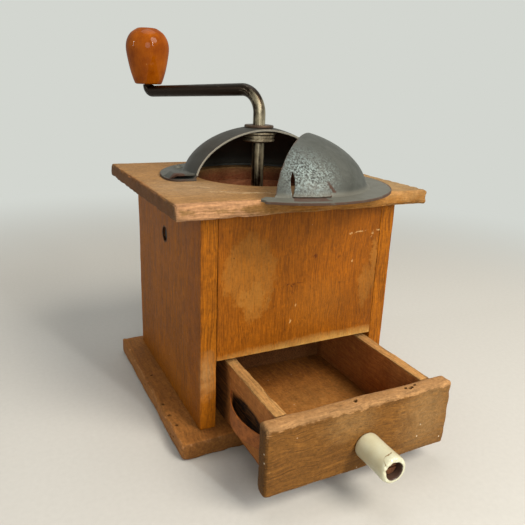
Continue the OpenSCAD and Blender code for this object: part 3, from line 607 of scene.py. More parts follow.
def plain_metal(name, light, dark, rough_low, rough_high, metallic, spot_mm):
    """Handled metal with a brown or dull skin that is rubbed bright in spots of the given size."""
    finish, tree = empty_tree(name)
    spot = add(tree, "ShaderNodeTexCoord").outputs["Object"]
    cloud = add(tree, "ShaderNodeTexNoise", {"Vector": spot, "Scale": 1 / (spot_mm * MM), "Detail": 6.0,
                                             "Roughness": 0.66}).outputs["Fac"]
    grit = add(tree, "ShaderNodeTexNoise",
               {"Vector": spot, "Scale": 1 / (0.7 * MM), "Detail": 2.0}).outputs["Fac"]
    mix = add(tree, "ShaderNodeMath", {0: grit, 1: 0.35, 2: cloud}, operation="MULTIPLY_ADD").outputs[0]
    mix = add(tree, "ShaderNodeMapRange", {"Value": mix, 1: 0.48, 2: 0.86}).outputs[0]
    skin = add(tree, "ShaderNodeMix", {0: mix, 6: dark, 7: light}, data_type="RGBA").outputs[2]
    rough = add(tree, "ShaderNodeMapRange", {"Value": mix, 3: rough_high, 4: rough_low}).outputs[0]
    relief = add(tree, "ShaderNodeMath", {0: cloud, 1: 1.2, 2: grit}, operation="MULTIPLY_ADD").outputs[0]
    relief = add(tree, "ShaderNodeBump",
                 {"Height": relief, "Strength": 0.35, "Distance": 0.12 * MM}).outputs[0]
    close(tree, add(tree, "ShaderNodeBsdfPrincipled", {
        "Base Color": skin, "Metallic": metallic, "Roughness": rough, "Normal": relief}))
    return finish


def browned_rod(tones, shaft_run):
    """Drawn steel rod browned with age: dark skin, and long bright streaks on the upright part that are rubbed
    steel and a painted highlight.
    """
    finish, tree = empty_tree("browned_steel_rod")
    lay = add(tree, "ShaderNodeAttribute", attribute_name="lay").outputs["Vector"]
    run = add(tree, "ShaderNodeSeparateXYZ", {0: lay}).outputs[0]
    # Streaks 2.6 mm wide and about 40 mm long, grime 3 mm
    drawn = add(tree, "ShaderNodeVectorMath", {0: lay, 1: (1 / 40, 1 / 2.6, 1 / 2.6)},
                operation="MULTIPLY").outputs[0]
    streak = add(tree, "ShaderNodeTexNoise", {"Vector": drawn, "Scale": 1.0, "Detail": 3.0}).outputs["Fac"]
    grime = add(tree, "ShaderNodeTexNoise", {"Vector": lay, "Scale": 1 / 3, "Detail": 5.0,
                                             "Roughness": 0.65}).outputs["Fac"]
    # The bright streaks on the upright are partly a painted highlight; on the arm they are held back
    upright = add(tree, "ShaderNodeMapRange", {"Value": run, 1: shaft_run + 34, 2: shaft_run + 8, 3: -0.24,
                                               4: 0.17}).outputs[0]
    mix = add(tree, "ShaderNodeMath", {0: streak, 1: upright}).outputs[0]
    mix = add(tree, "ShaderNodeMath", {0: grime, 1: 0.25, 2: mix}, operation="MULTIPLY_ADD").outputs[0]
    mix = add(tree, "ShaderNodeMapRange", {"Value": mix, 1: 0.64, 2: 0.90}).outputs[0]
    skin = add(tree, "ShaderNodeMix", {0: mix, 6: tones.steel, 7: tones.steel_rubbed_and_highlight},
               data_type="RGBA").outputs[2]
    rough = add(tree, "ShaderNodeMapRange", {"Value": grime, 1: 0.3, 2: 0.7, 3: 0.26, 4: 0.46}).outputs[0]
    relief = add(tree, "ShaderNodeMath", {0: streak, 1: 0.8, 2: grime}, operation="MULTIPLY_ADD").outputs[0]
    relief = add(tree, "ShaderNodeBump",
                 {"Height": relief, "Strength": 0.3, "Distance": 0.12 * MM}).outputs[0]
    close(tree, add(tree, "ShaderNodeBsdfPrincipled", {
        "Base Color": skin, "Metallic": 0.85, "Roughness": rough, "Normal": relief}))
    return finish


def amber_lacquer(tones):
    """Turned beech under thick amber lacquer: deep glossy coat, faint grain, darker where it pooled."""
    finish, tree = empty_tree("amber_lacquered_beech")
    spot = add(tree, "ShaderNodeTexCoord").outputs["Object"]
    # Fibres 1.6 mm wide along the grip, clouds 12 mm, chips in the lacquer 1 mm
    stretch = add(tree, "ShaderNodeVectorMath", {0: spot, 1: (625, 625, 30)}, operation="MULTIPLY").outputs[0]
    fibre = add(tree, "ShaderNodeTexNoise", {"Vector": stretch, "Scale": 1.0, "Detail": 4.0}).outputs["Fac"]
    cloud = add(tree, "ShaderNodeTexNoise", {"Vector": spot, "Scale": 1 / (12 * MM), "Detail": 5.0,
                                             "Roughness": 0.6}).outputs["Fac"]
    chip = add(tree, "ShaderNodeTexVoronoi", {"Vector": spot, "Scale": 1 / (9 * MM)}).outputs["Distance"]
    chip = add(tree, "ShaderNodeMapRange", {"Value": chip, 1: 0.075, 2: 0.045, 4: 0.55}).outputs[0]
    mix = add(tree, "ShaderNodeMath", {0: fibre, 1: 0.22, 2: cloud}, operation="MULTIPLY_ADD").outputs[0]
    mix = add(tree, "ShaderNodeMapRange", {"Value": mix, 1: 0.44, 2: 0.80}).outputs[0]
    skin = add(tree, "ShaderNodeMix", {0: mix, 6: tones.lacquer_dark, 7: tones.lacquer},
               data_type="RGBA").outputs[2]
    skin = add(tree, "ShaderNodeMix", {0: chip, 6: skin, 7: linear("#D09A50")}, data_type="RGBA").outputs[2]
    rough = add(tree, "ShaderNodeMapRange", {"Value": cloud, 1: 0.3, 2: 0.7, 3: 0.34, 4: 0.46}).outputs[0]
    relief = add(tree, "ShaderNodeBump", {"Height": cloud, "Strength": 0.3, "Distance": 0.3 * MM}).outputs[0]
    close(tree, add(tree, "ShaderNodeBsdfPrincipled", {
        "Base Color": skin, "Roughness": rough, "Normal": relief, "Specular IOR Level": 0.0,
        "Coat Weight": 0.24, "Coat Roughness": 0.04}))
    return finish


def glazed_porcelain(tones, crack):
    """Glazed porcelain yellowed with age: glossy, a stained crack by the chipped rim, rust in the hole.

    crack lists the points of the crack in millimetres.
    """
    finish, tree = empty_tree("glazed_porcelain")
    spot = add(tree, "ShaderNodeTexCoord").outputs["Object"]
    # Yellow stain in clouds 7 mm wide
    cloud = add(tree, "ShaderNodeTexNoise", {"Vector": spot, "Scale": 1 / (7 * MM), "Detail": 5.0}).outputs
    stain = add(tree, "ShaderNodeMapRange", {"Value": cloud["Fac"], 1: 0.42, 2: 0.72, 4: 0.5}).outputs[0]
    skin = add(tree, "ShaderNodeMix", {0: stain, 6: tones.porcelain, 7: linear("#BDB48C")},
               data_type="RGBA").outputs[2]
    bent = add(tree, "ShaderNodeVectorMath", {0: cloud["Color"], 1: (0.004, 0.004, 0.004), 2: spot},
               operation="MULTIPLY_ADD").outputs[0]
    bent = add(tree, "ShaderNodeVectorMath", {0: bent, 1: (-0.002, -0.002, -0.002)}).outputs[0]
    for start, end in zip(crack, crack[1:]):
        off = line_distance(tree, bent, start, end)
        line = add(tree, "ShaderNodeMapRange", {"Value": off, 1: 0.45 * MM, 2: 0.15 * MM, 4: 0.85}).outputs[0]
        skin = add(tree, "ShaderNodeMix", {0: line, 6: skin, 7: linear("#7A6038")},
                   data_type="RGBA").outputs[2]
    hole = add(tree, "ShaderNodeAttribute", attribute_name="wear").outputs["Fac"]
    hole = add(tree, "ShaderNodeMath", {0: cloud["Fac"], 1: 0.6, 2: hole},
               operation="MULTIPLY_ADD").outputs[0]
    hole = add(tree, "ShaderNodeMapRange", {"Value": hole, 1: 0.75, 2: 1.0}).outputs[0]
    skin = add(tree, "ShaderNodeMix", {0: hole, 6: skin, 7: linear("#3C2413")}, data_type="RGBA").outputs[2]
    rough = add(tree, "ShaderNodeMapRange", {"Value": hole, 3: 0.22, 4: 0.7}).outputs[0]
    relief = add(tree, "ShaderNodeBump",
                 {"Height": cloud["Fac"], "Strength": 0.15, "Distance": 0.2 * MM}).outputs[0]
    close(tree, add(tree, "ShaderNodeBsdfPrincipled", {
        "Base Color": skin, "Roughness": rough, "Normal": relief, "Coat Weight": 0.3,
        "Coat Roughness": 0.08}))
    return finish


# Wooden case

class MILL_OT_base(bpy.types.Operator):
    """Builds the base board with rubbed edges and worm holes along its left side"""
    bl_idname = "mill.base"
    bl_label = "Base board"

    def execute(self, context):
        sizes, tones = context.scene.mill_sizes, context.scene.mill_colours
        low, high = (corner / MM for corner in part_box("base_plate"))
        worms = [(x, y, high.z) for x, y in ((-72.6, 9), (-76, -29.5), (-75.4, -42.5), (-74.6, -54.5))]
        dirt = [((x, y, z), (x + 0.4, y, z), 1.8, linear("#1E0F06")) for x, y, z in worms]
        wood = old_wood("waxed_beech_base", (tones.base_light, tones.base_dark, tones.bare), 1, 1.0, 0.85,
                        fibre=(1.2, 26), depth=0.7, figure=5.0, mottle=0.14, specks=0.5, rough=0.6,
                        scratches=dirt)
        shape = worn_board(low, high, sizes.plate_round / MM, 1.3 * sizes.chip / MM, 1, 1,
                           bared=lambda p: 0.5)
        made = piece("base_board", shape, "case", ["base_plate"], wood)
        spots = [(low.x, y, z) for y, z in (
            (-58, 6.4), (-52, 4.2), (-41, 7.0), (-22, 5.2), (6, 6.6), (31, 4.4))]
        cut_away(made, holes(spots, 0.75, 6, (1, 0, 0)))
        cut_away(made, holes(worms, 0.8, 6, (0, 0, -1)))
        return {"FINISHED"}


class MILL_OT_case(bpy.types.Operator):
    """Builds the side, back and front boards of the box"""
    bl_idname = "mill.case"
    bl_label = "Box boards"

    def execute(self, context):
        sizes, tones = context.scene.mill_sizes, context.scene.mill_colours
        rounding, chip = sizes.board_round / MM, sizes.chip / MM
        # The two round recesses of the sides are darkened nearly black
        dirt = [((x, 0, SCREW_Z), (8, 5.5, 5.5), 0.9, linear("#1E0F06"), 0.08, 0.5)
                for x in (-CASE_X, CASE_X)]
        # The left board has lost its lacquer beside the drawer, and is darker behind its front edge
        worn = [((-61, -69, 47), (9, 6, 15), 0.62, linear("#AD8350"), 0.35, 9),
                ((-65.5, -56, 80), (3, 16, 90), 0.6, linear("#7E4306"), 0.35, 6)]
        side = old_wood("lacquered_beech_side", (tones.side_light, tones.side_dark, tones.bare), 2, 2.0, 0.95,
                        fibre=(0.8, 40), depth=1.0, specks=0.25, rubbed=dirt + worn)
        pale, red = linear("#D2AE74"), linear("#461A08")
        thin = tones.front_thin
        marks = [(31.5, 123.4, 45.3, 125.7, 0.6, pale), (48.3, 121, 49.3, 124.3, 0.65, pale),
                 (52, 124.9, 61.6, 126.2, 0.55, pale), (-10.2, 95.9, 1.1, 97.1, 0.7, red),
                 (-6.8, 95, -6.1, 89.3, 0.6, red), (25.5, 93.2, 30.3, 92.5, 0.7, red),
                 (8.3, 111.9, 8.7, 112.2, 1.3, red), (24.7, 110.2, 25.1, 110.4, 1.2, red),
                 (57.3, 91.3, 57.5, 91.8, 1.2, red), (-6.8, 72.5, -6.6, 73, 1.0, pale),
                 (-4, 82.6, -3.8, 83, 0.9, pale), (35.3, 106.3, 35.5, 106.7, 0.9, pale)]
        front = old_wood("lacquered_beech_front", (tones.front_light, tones.front_dark, tones.bare), 2, 3.0,
                         0.95, fibre=(0.55, 22), depth=0.7, mottle=0.08, specks=0.7,
                         rubbed=[((-34, FRONT_Y, 106), (16, 12, 22), 0.42, thin, 0.08, 20),
                                 ((-31, FRONT_Y, 88), (8, 12, 12), 0.42, thin, 0.08, 20),
                                 ((46, FRONT_Y, 88), (4, 12, 13), 0.45, thin, 0.2, 18),
                                 ((52, FRONT_Y, 102), (3, 12, 17), 0.50, thin, 0.2, 18),
                                 ((24, FRONT_Y, 52), (64, 14, 6), 0.9, linear("#CBA058"), 0.6, 6),
                                 ((12, FRONT_Y, 82), (20, 12, 14), 0.14, thin, 0.4, 20)],
                         scratches=[((x, FRONT_Y, z), (x_end, FRONT_Y, z_end), width, tint)
                                    for x, z, x_end, z_end, width, tint in marks])
        for name, seed in (("left_side", 2), ("right_side", 3), ("back_panel", 4)):
            low, high = (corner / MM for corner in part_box(name))
            shape = worn_board(low, high, rounding, 0.4 * chip, 2, seed)
            made = piece(name.replace("panel", "board").replace("side", "board"), shape, "case",
                         [name], side)
            if name != "back_panel":
                out = -1 if name == "left_side" else 1
                cut_away(made, holes([(out * CASE_X, 0, SCREW_Z)], 5.2, 6, (-out, 0, 0)))
        low, high = (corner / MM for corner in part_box("front_panel"))
        piece("front_board", worn_board(low, high, 0.7 * rounding, 0.25 * chip, 2, 5), "case",
              ["front_panel"], front)
        return {"FINISHED"}


class MILL_OT_top(bpy.types.Operator):
    """Builds the top board with its bean hole and its torn front edge"""
    bl_idname = "mill.top"
    bl_label = "Top board"

    def execute(self, context):
        sizes, tones = context.scene.mill_sizes, context.scene.mill_colours
        low, high = (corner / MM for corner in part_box("top_plate"))
        pale = linear("#CDB48E")
        wood = old_wood("rubbed_beech_top", (tones.top_light, tones.top_dark, tones.bare), 0, 6.0, 0.62,
                        fibre=(1.0, 30), depth=0.75, figure=4.0, mottle=0.12, specks=0.5,
                        rough=0.62, ends=0.4,
                        rubbed=[((0, 0, low.z - 2), (42, 42, 30), 0.85, linear("#8E4E30"), 0.03, 1),
                                ((30, low.y, low.z + 5), (62, 3, 9), 0.8, linear("#94601F"), 0.3, 6),
                                ((66, -40, high.z), (28, 40, 6), 0.5, linear("#A08A62"), 0.6, 20),
                                ((-56, -30, high.z), (24, 24, 6), 0.4, linear("#98856A"), 0.5, 20),
                                ((low.x, 0, low.z + 4), (2.5, 90, 7), 0.75, linear("#93561F"), 0.3, 4)],
                        scratches=[((-52, -46, high.z), (-20, -57, high.z), 0.9, pale),
                                   ((-44, -52, high.z), (-16, -60, high.z), 0.7, pale),
                                   ((-62, -20, high.z), (-47, -34, high.z), 0.6, pale),
                                   ((58, -52, high.z), (70, -40, high.z), 0.6, pale)])

        def torn(p):
            return 2.2 * ease(low.y + 4, low.y, p.y) * ease(low.z + 4, low.z, p.z)

        def bared(p):
            return 0.12 + 0.98 * ease(low.y + 6, low.y + 2, p.y) * (1 - 0.85 * ease(-46, -22, p.x))

        shape = worn_board(low, high, sizes.plate_round / MM, 1.3 * sizes.chip / MM, 0, 6, step=2.6,
                           torn=torn, bared=bared)
        made = piece("top_board", shape, "case", ["top_plate"], wood)
        hole = lathe([(0, low.z - 2), (HOLE_R, low.z - 2), (HOLE_R, high.z - 1.2),
                      (HOLE_R + 0.4, high.z - 0.5), (HOLE_R + 1.2, high.z + 0.3), (HOLE_R + 2, high.z + 3),
                      (0, high.z + 3)], 128)
        cut_away(made, hole)
        return {"FINISHED"}


class MILL_OT_hopper(bpy.types.Operator):
    """Builds the turned hopper bowl under the bean hole"""
    bl_idname = "mill.hopper"
    bl_label = "Hopper bowl"

    def execute(self, context):
        tones = context.scene.mill_colours
        low, high = (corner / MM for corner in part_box("hopper_bowl"))
        wood = old_wood("oiled_beech_hopper", (tones.bowl_light, tones.bowl_dark, tones.wall_light), 0, 7.0,
                        1.0, fibre=(1.4, 20), specks=0.4)
        funnel = [(HOLE_R - 14 * k / 8, high.z - 5 - 13.6 * k / 8) for k in range(1, 8)]
        shape = lathe([(26, low.z), (50, low.z), (50, high.z), (HOLE_R + 0.3, high.z), (HOLE_R, high.z - 0.4),
                       (HOLE_R, high.z - 5)] + funnel, 128, loop=True)
        piece("hopper_wood", shape, "case", ["hopper_bowl"], wood)
        return {"FINISHED"}


# Dome and cover

def dome_radius(rise):
    """Outer radius of the dome at a height above its foot."""
    return DOME_R * (1 - (rise / DOME_H) ** DOME_POWER) ** (1 / DOME_POWER)


def dome_line(foot, sheet):
    """Outer profile of the dome from the foot fillet on the flange to the crown, as (radius, rise) pairs."""
    line = [(DOME_R + 0.9 * foot, sheet), (DOME_R + 0.45 * foot, sheet + 0.10 * foot),
            (DOME_R + 0.15 * foot, sheet + 0.42 * foot)]
    steps = 45
    for k in range(steps + 1):
        turn = math.radians(90 * k / steps)
        rise = DOME_H * math.sin(turn) ** (2 / DOME_POWER)
        if sheet + 0.8 * foot < rise < DOME_H - CROWN_SEAT:
            line.append((dome_radius(rise), rise))
    return line + [(dome_radius(DOME_H - CROWN_SEAT), DOME_H - CROWN_SEAT), (6.15, DOME_H - CROWN_SEAT)]


def flange_end(radius):
    """Angle at which the fixed flange ends on the left, at its rounded tip."""
    away = TIP_HEART.length
    if radius ** 2 < TIP_HEART.x ** 2 + DOME_CUT ** 2:
        return 180 + math.degrees(math.asin(DOME_CUT / radius))
    bend = (radius ** 2 + away ** 2 - TIP_R ** 2) / (2 * radius * away)
    return 180 + math.degrees(math.atan2(-TIP_HEART.y, -TIP_HEART.x) + math.acos(min(bend, 1)))


def ring_band(shape, start, ends, radii, height, wear_of, count=90):
    """Adds a band round Z; ends(radius) gives the last angle, radii(angle) the band's two radii."""
    rows = []
    steps = 10
    middle_r = 56
    for i in range(count + 1):
        share = i / count
        inner, outer = radii(start + (ends(middle_r) - start) * share)
        row = []
        for k in range(steps + 1):
            radius = inner + (outer - inner) * k / steps
            turn = math.radians(start + (ends(radius) - start) * share)
            x, y = radius * math.cos(turn), radius * math.sin(turn)
            row.append((x, y, height(x, y)))
        rows.append(row)
    patch(shape, rows, wear_of)


def finish_half(shape, cut_y, foot_z, place, name, body, node, sheet, tin):
    """Marks the sheared edge of a dome half, turns its faces outward and gives the sheet its thickness."""
    cut = shape.verts.layers.float.new("cut")
    for vert in shape.verts:
        if abs(vert.co.y / MM - cut_y) < 0.01 and vert.co.z / MM > foot_z + 3:
            vert[cut] = 1
    for face in shape.faces:
        face.normal_update()
        spot = face.calc_center_median()
        if face.normal.dot(Vector((spot.x, spot.y, 0.03))) < 0:
            face.normal_flip()
    made = piece(name, shape, body, [node], tin, place)
    thicken(made, sheet * MM)


class MILL_OT_dome(bpy.types.Operator):
    """Builds the fixed rear half of the dome with its flange, pivot eye and the raised keeper at the left"""
    bl_idname = "mill.dome"
    bl_label = "Fixed dome"

    def execute(self, context):
        sizes, tones = context.scene.mill_sizes, context.scene.mill_colours
        sheet = sizes.sheet / MM
        top = PLATE_Z + sheet

        def wear_of(p):
            rim = max(0, 1 - abs(FLANGE_R - p.xy.length) / RIM_RUST)
            if p.x < TIP_HEART.x and p.y < TIP_HEART.y:
                rim = max(rim, 1 - (TIP_R - (p.xy - TIP_HEART).length) / RIM_RUST)
            return 0.8 * max(rim, 1 - (p.y + DOME_CUT) / 2.2, 0)

        def keeper_wear(p):
            return 0.95 * ease(-2, -8, p.y) * ease(52, 56, p.xy.length)

        shape = bmesh.new()
        rows = []
        turns = [2 * math.pi * i / 144 for i in range(145)]
        for radius, rise in dome_line(sizes.foot_fillet / MM, sheet):
            rows.append([(radius * math.cos(t), radius * math.sin(t), PLATE_Z + rise) for t in turns])
        patch(shape, rows, wear_of)
        bmesh.ops.remove_doubles(shape, verts=shape.verts, dist=1e-6)
        bmesh.ops.bisect_plane(shape, geom=shape.verts[:] + shape.edges[:] + shape.faces[:], dist=1e-7,
                               plane_co=(0, -DOME_CUT * MM, 0), plane_no=(0, 1, 0), clear_inner=True)
        cap = math.degrees(FIXED_EYE_R / PIVOT_R)

        def radii(turn):
            short = (PIVOT_TURN - turn) * math.pi / 180 * PIVOT_R
            if short > 0:
                half = math.sqrt(max(FIXED_EYE_R ** 2 - short ** 2, 0.01))
                return PIVOT_R - half, PIVOT_R + half
            return DOME_R - FLANGE_TUCK + ease(-8, -14, turn) * 1.4, FLANGE_R - 0.05

        ring_band(shape, PIVOT_TURN - cap + 0.05, flange_end, radii, lambda x, y: top, wear_of, 130)

        # The keeper is pressed up from the flange: it melts into it behind and outside, and is open in front
        def raised(x, y):
            return top - 0.25 + 3.35 * ease(9.5, 1.5, y) * ease(62.9, 59.8, math.hypot(x, y))

        ring_band(shape, 169.0, lambda r: flange_end(r) - math.degrees(1.2 / r),
                  lambda t: (DOME_R - 0.5, 62.6), raised, keeper_wear, 26)
        # The rear half gets painted shade above its flange
        finish_half(shape, -DOME_CUT, PLATE_Z, None, "dome_rear_half", "case", "fixed_dome", sheet,
                    tinned_sheet("shade_painted_tinned_sheet", tones, 0.75))
        return {"FINISHED"}


class MILL_OT_cover(bpy.types.Operator):
    """Builds the swinging front half of the dome with its flange and pressed-out finger lip"""
    bl_idname = "mill.cover"
    bl_label = "Swing cover"

    def execute(self, context):
        sizes, tones = context.scene.mill_sizes, context.scene.mill_colours
        sheet = sizes.sheet / MM
        floor = PLATE_Z + sheet + 0.3
        lip_half = 12.0
        foot = sizes.foot_fillet / MM
        lip_low, lip_high = sheet + 0.10 * foot, 13.6
        edge_y = -DOME_CUT - COVER_GAP

        def wear_of(p):
            rim = max(0, 1 - abs(COVER_FLANGE_R - p.xy.length) / RIM_RUST)
            cut = max(0, 1 - (edge_y - p.y) / 2.0) if p.z > floor + 2 else 0
            turn = math.degrees(math.atan2(p.y, p.x)) - LIP_TURN
            # Rust on the flange before the lip, and a scar that slopes down to the right of it
            away = p.xy.length - DOME_R
            stain = ease(1.0, 1.6, away) * ease(11.0, 9.5, away)
            stain *= ease(lip_half - 1, lip_half - 2, abs(turn + 2))
            down = (9.6 - p.z + floor) / 7.1
            scar = ease(2.6, 1.2, abs(turn - 11.0 - 5.8 * down)) * ease(-0.1, 0.1, down)
            scar *= ease(1.1, 0.9, down)
            return max(rim, 0.8 * cut, stain, 0.9 * scar)

        shape = bmesh.new()
        line = [p for p in dome_line(foot, sheet) if abs(p[1] - lip_high) > 0.7]
        line.append((dome_radius(lip_high), lip_high))
        line.sort(key=lambda p: (p[1], -p[0]))
        turns = sorted({-180 + i for i in range(181)} | {LIP_TURN - lip_half, LIP_TURN + lip_half})
        rows = []
        angles = [math.radians(t) for t in turns]
        for radius, rise in line:
            rows.append([(radius * math.cos(a), radius * math.sin(a), floor + rise) for a in angles])
        patch(shape, rows, wear_of)

        # The lip stays joined along its top and bulges out between slits at its sides and foot; the left slit
        # gapes as a leaf 13 mm tall
        lip = []
        for face in shape.faces:
            spot = face.calc_center_median() / MM
            turn = math.degrees(math.atan2(spot.y, spot.x))
            if abs(turn - LIP_TURN) < lip_half and lip_low < spot.z - floor < lip_high:
                lip.append(face)
        held = set(lip)
        slit = []
        for edge in shape.edges:
            at_top = all(abs(v.co.z / MM - floor - lip_high) < 0.01 for v in edge.verts)
            if not at_top and sum(face in held for face in edge.link_faces) == 1:
                slit.append(edge)
        wear = shape.verts.layers.float["wear"]
        for edge in slit:
            for vert in edge.verts:
                vert[wear] = 0.75
        bmesh.ops.split_edges(shape, edges=slit)
        moved = {v for face in lip for v in face.verts}
        for vert in shape.verts:
            drop = (floor + lip_high - vert.co.z / MM) / (lip_high - lip_low)
            turn = math.degrees(math.atan2(vert.co.y, vert.co.x)) - LIP_TURN
            if not -0.001 <= drop <= 1.001 or abs(turn) > 2 * lip_half:
                continue
            gape = 1.15 * math.sin(math.pi * min(max(drop, 0), 1) ** 0.75)
            if vert in moved:
                gape *= ease(-0.2 * lip_half, -lip_half, turn)
                vert.co += Vector((vert.co.x, vert.co.y, 0)).normalized() * sizes.lip_out * ease(0, 0.7, drop)
                vert.co.z += 0.5 * MM * ease(0.8, 1, drop)
            else:
                gape *= -ease(-1.3 * lip_half, -lip_half, turn) * ease(-0.9 * lip_half, -lip_half, turn)
            vert.co.xy += Vector((-vert.co.y, vert.co.x)).normalized() * gape * MM
        bmesh.ops.bisect_plane(shape, geom=shape.verts[:] + shape.edges[:] + shape.faces[:], dist=1e-7,
                               plane_co=(0, edge_y * MM, 0), plane_no=(0, -1, 0), clear_inner=True)
        cap = math.degrees(COVER_EYE_R / PIVOT_R)

        def radii(turn):
            ahead = (turn - PIVOT_TURN) * math.pi / 180 * PIVOT_R
            if abs(ahead) >= COVER_EYE_R:
                back = ease(-162.5, -165.5, turn)
                return DOME_R - FLANGE_TUCK + 2.4 * back, COVER_FLANGE_R
            span = math.sqrt(max(COVER_EYE_R ** 2 - ahead ** 2, 0.01))
            if ahead > 0:
                return max(DOME_R - sheet, PIVOT_R - span), PIVOT_R + span
            return DOME_R - FLANGE_TUCK, max(COVER_FLANGE_R, PIVOT_R + span)

        def tip(radius):
            reach = 12.3 - 4.4 * ease(61, 57.5, radius)
            return -180 + math.degrees(math.asin(reach / radius))

        ring_band(shape, PIVOT_TURN + cap - 0.05, tip, radii, lambda x, y: floor + sheet, wear_of, 110)
        finish_half(shape, edge_y, floor, OPEN_PLACE, "dome_swing_half", "cover", "swing_cover", sheet,
                    tinned_sheet("tinned_steel_sheet", tones, 0.0))
        return {"FINISHED"}


class MILL_OT_bush(bpy.types.Operator):
    """Builds the turned bush, ring and nut that guide the shaft at the crown"""
    bl_idname = "mill.bush"
    bl_label = "Crown bush"

    def execute(self, context):
        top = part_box("dome_bush")[1].z / MM - 1.8
        bore = SHAFT_R + 0.06
        bronze = plain_metal("browned_bronze", linear("#54402E"), linear("#2C2018"), 0.4, 0.62, 0.6, 4)
        nickel = plain_metal("worn_nickel_plate", linear("#A89C82"), linear("#564A38"), 0.3, 0.5, 0.85, 3)
        shape = lathe([(bore, top - 9.5), (6, top - 9.5), (6, top), (9.0, top), (9.5, top + 0.4),
                       (9.5, top + 1.2), (9.1, top + 1.7), (8.4, top + 1.8), (5.4, top + 1.8),
                       (bore, top + 1.5)], 80, loop=True)
        piece("crown_bush", shape, "case", ["dome_bush"], bronze)
        shape = lathe([(6.1, top - 4), (10.9, top - 4), (11.2, top - 3.7), (11.2, top - 2.8),
                       (10.9, top - 2.5), (6.1, top - 2.5)], 80, loop=True)
        piece("crown_ring", shape, "case", ["bush_washer"], nickel)
        base = top - 8.4
        shape = lathe([(6.1, base), (10.0, base), (10.4, base + 0.4), (10.4, base + 1.5), (9.6, base + 1.7),
                       (9.6, base + 2.4), (10.4, base + 2.6), (10.4, base + 3.8), (10.0, base + 4.2),
                       (6.1, base + 4.2)], 80, loop=True)
        piece("crown_nut", shape, "case", ["bush_nut"], nickel)
        return {"FINISHED"}


# Crank and grip

class MILL_OT_crank(bpy.types.Operator):
    """Builds the bent steel rod that is shaft, arm and grip spindle in one"""
    bl_idname = "mill.crank"
    bl_label = "Crank rod"

    def execute(self, context):
        tones = context.scene.mill_colours
        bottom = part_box("crank_shaft")[0].z / MM
        shaft_bend, grip_bend, drop = 14.7, 4.5, math.radians(2.7)
        bend_z = PLATE_Z + ARM_RISE - shaft_bend
        path = [((0, 0, bottom), 2.6), ((0, 0, bottom + 0.4), 3.0), ((0, 0, bottom + 4.2), 3.0),
                ((0, 0, bottom + 4.6), SHAFT_R), ((0, 0, 150), SHAFT_R), ((0, 0, 170), SHAFT_R)]
        for k in range(25):
            turn = (math.pi / 2 + drop) * k / 24
            flat = 1 - 0.035 * math.sin(math.pi * k / 24)
            path.append(((shaft_bend * (1 - math.cos(turn)), 0, bend_z + shaft_bend * math.sin(turn)),
                         SHAFT_R * flat))
        start = Vector(path[-1][0])
        reach = (ARM_R - (shaft_bend + grip_bend) * (1 + math.sin(drop))) / math.cos(drop)
        end = start + reach * Vector((math.cos(drop), 0, -math.sin(drop)))
        path += [(tuple(start + (end - start) * k / 10), SHAFT_R) for k in range(1, 10)]
        heart = end + grip_bend * Vector((math.sin(drop), 0, math.cos(drop)))
        for k in range(15):
            turn = math.radians(270) - drop + (math.pi / 2 + drop) * k / 14
            place = (heart.x + grip_bend * math.cos(turn), 0, heart.z + grip_bend * math.sin(turn))
            path.append((place, SHAFT_R))
        path += [((ARM_R, 0, heart.z + rise), radius) for rise, radius in (
            (0.1, 3.9), (0.15, 3.0), (36.5, 3.0), (36.6, 3.9), (37.3, 3.6), (38.0, 2.6), (38.4, 1.2))]
        turn = Matrix.Rotation(math.radians(ARM_AZ), 4, "Z")
        piece("crank_rod", rod(path), "crank", ["crank_shaft"],
              browned_rod(tones, bend_z - bottom), turn)
        return {"FINISHED"}


class MILL_OT_grip(bpy.types.Operator):
    """Builds the turned, lacquered grip of the crank"""
    bl_idname = "mill.grip"
    bl_label = "Crank grip"

    def execute(self, context):
        tones = context.scene.mill_colours
        low, high = (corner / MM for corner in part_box("crank_knob"))
        tall = (high.z - low.z) / 43
        side = smooth_line([(8.4, 0), (9.6, 0.5), (10.3, 1.8), (11.5, 5.4), (12.8, 10), (13.9, 15),
                            (14.8, 20), (15.4, 24), (15.7, 27.5), (15.6, 30), (15.2, 32.5), (14.3, 35.2),
                            (13, 37.6), (11.4, 39.6), (9.2, 41.3), (7.2, 42.6), (6.3, 42.9)], 3)
        side = [(radius, height * tall) for radius, height in side]
        rim, well = high.z - low.z - 0.5, high.z - low.z - 5
        inside = [(6.0, rim), (6.0, well + 0.2), (5.8, well), (3.06, well), (3.06, 0.4), (3.4, 0)]
        place = Matrix.Translation(((low.x + high.x) / 2 * MM, (low.y + high.y) / 2 * MM, low.z * MM))
        piece("crank_grip", lathe(side + inside, 96, loop=True), "grip", ["crank_knob"],
              amber_lacquer(tones), place)
        return {"FINISHED"}


# Drawer

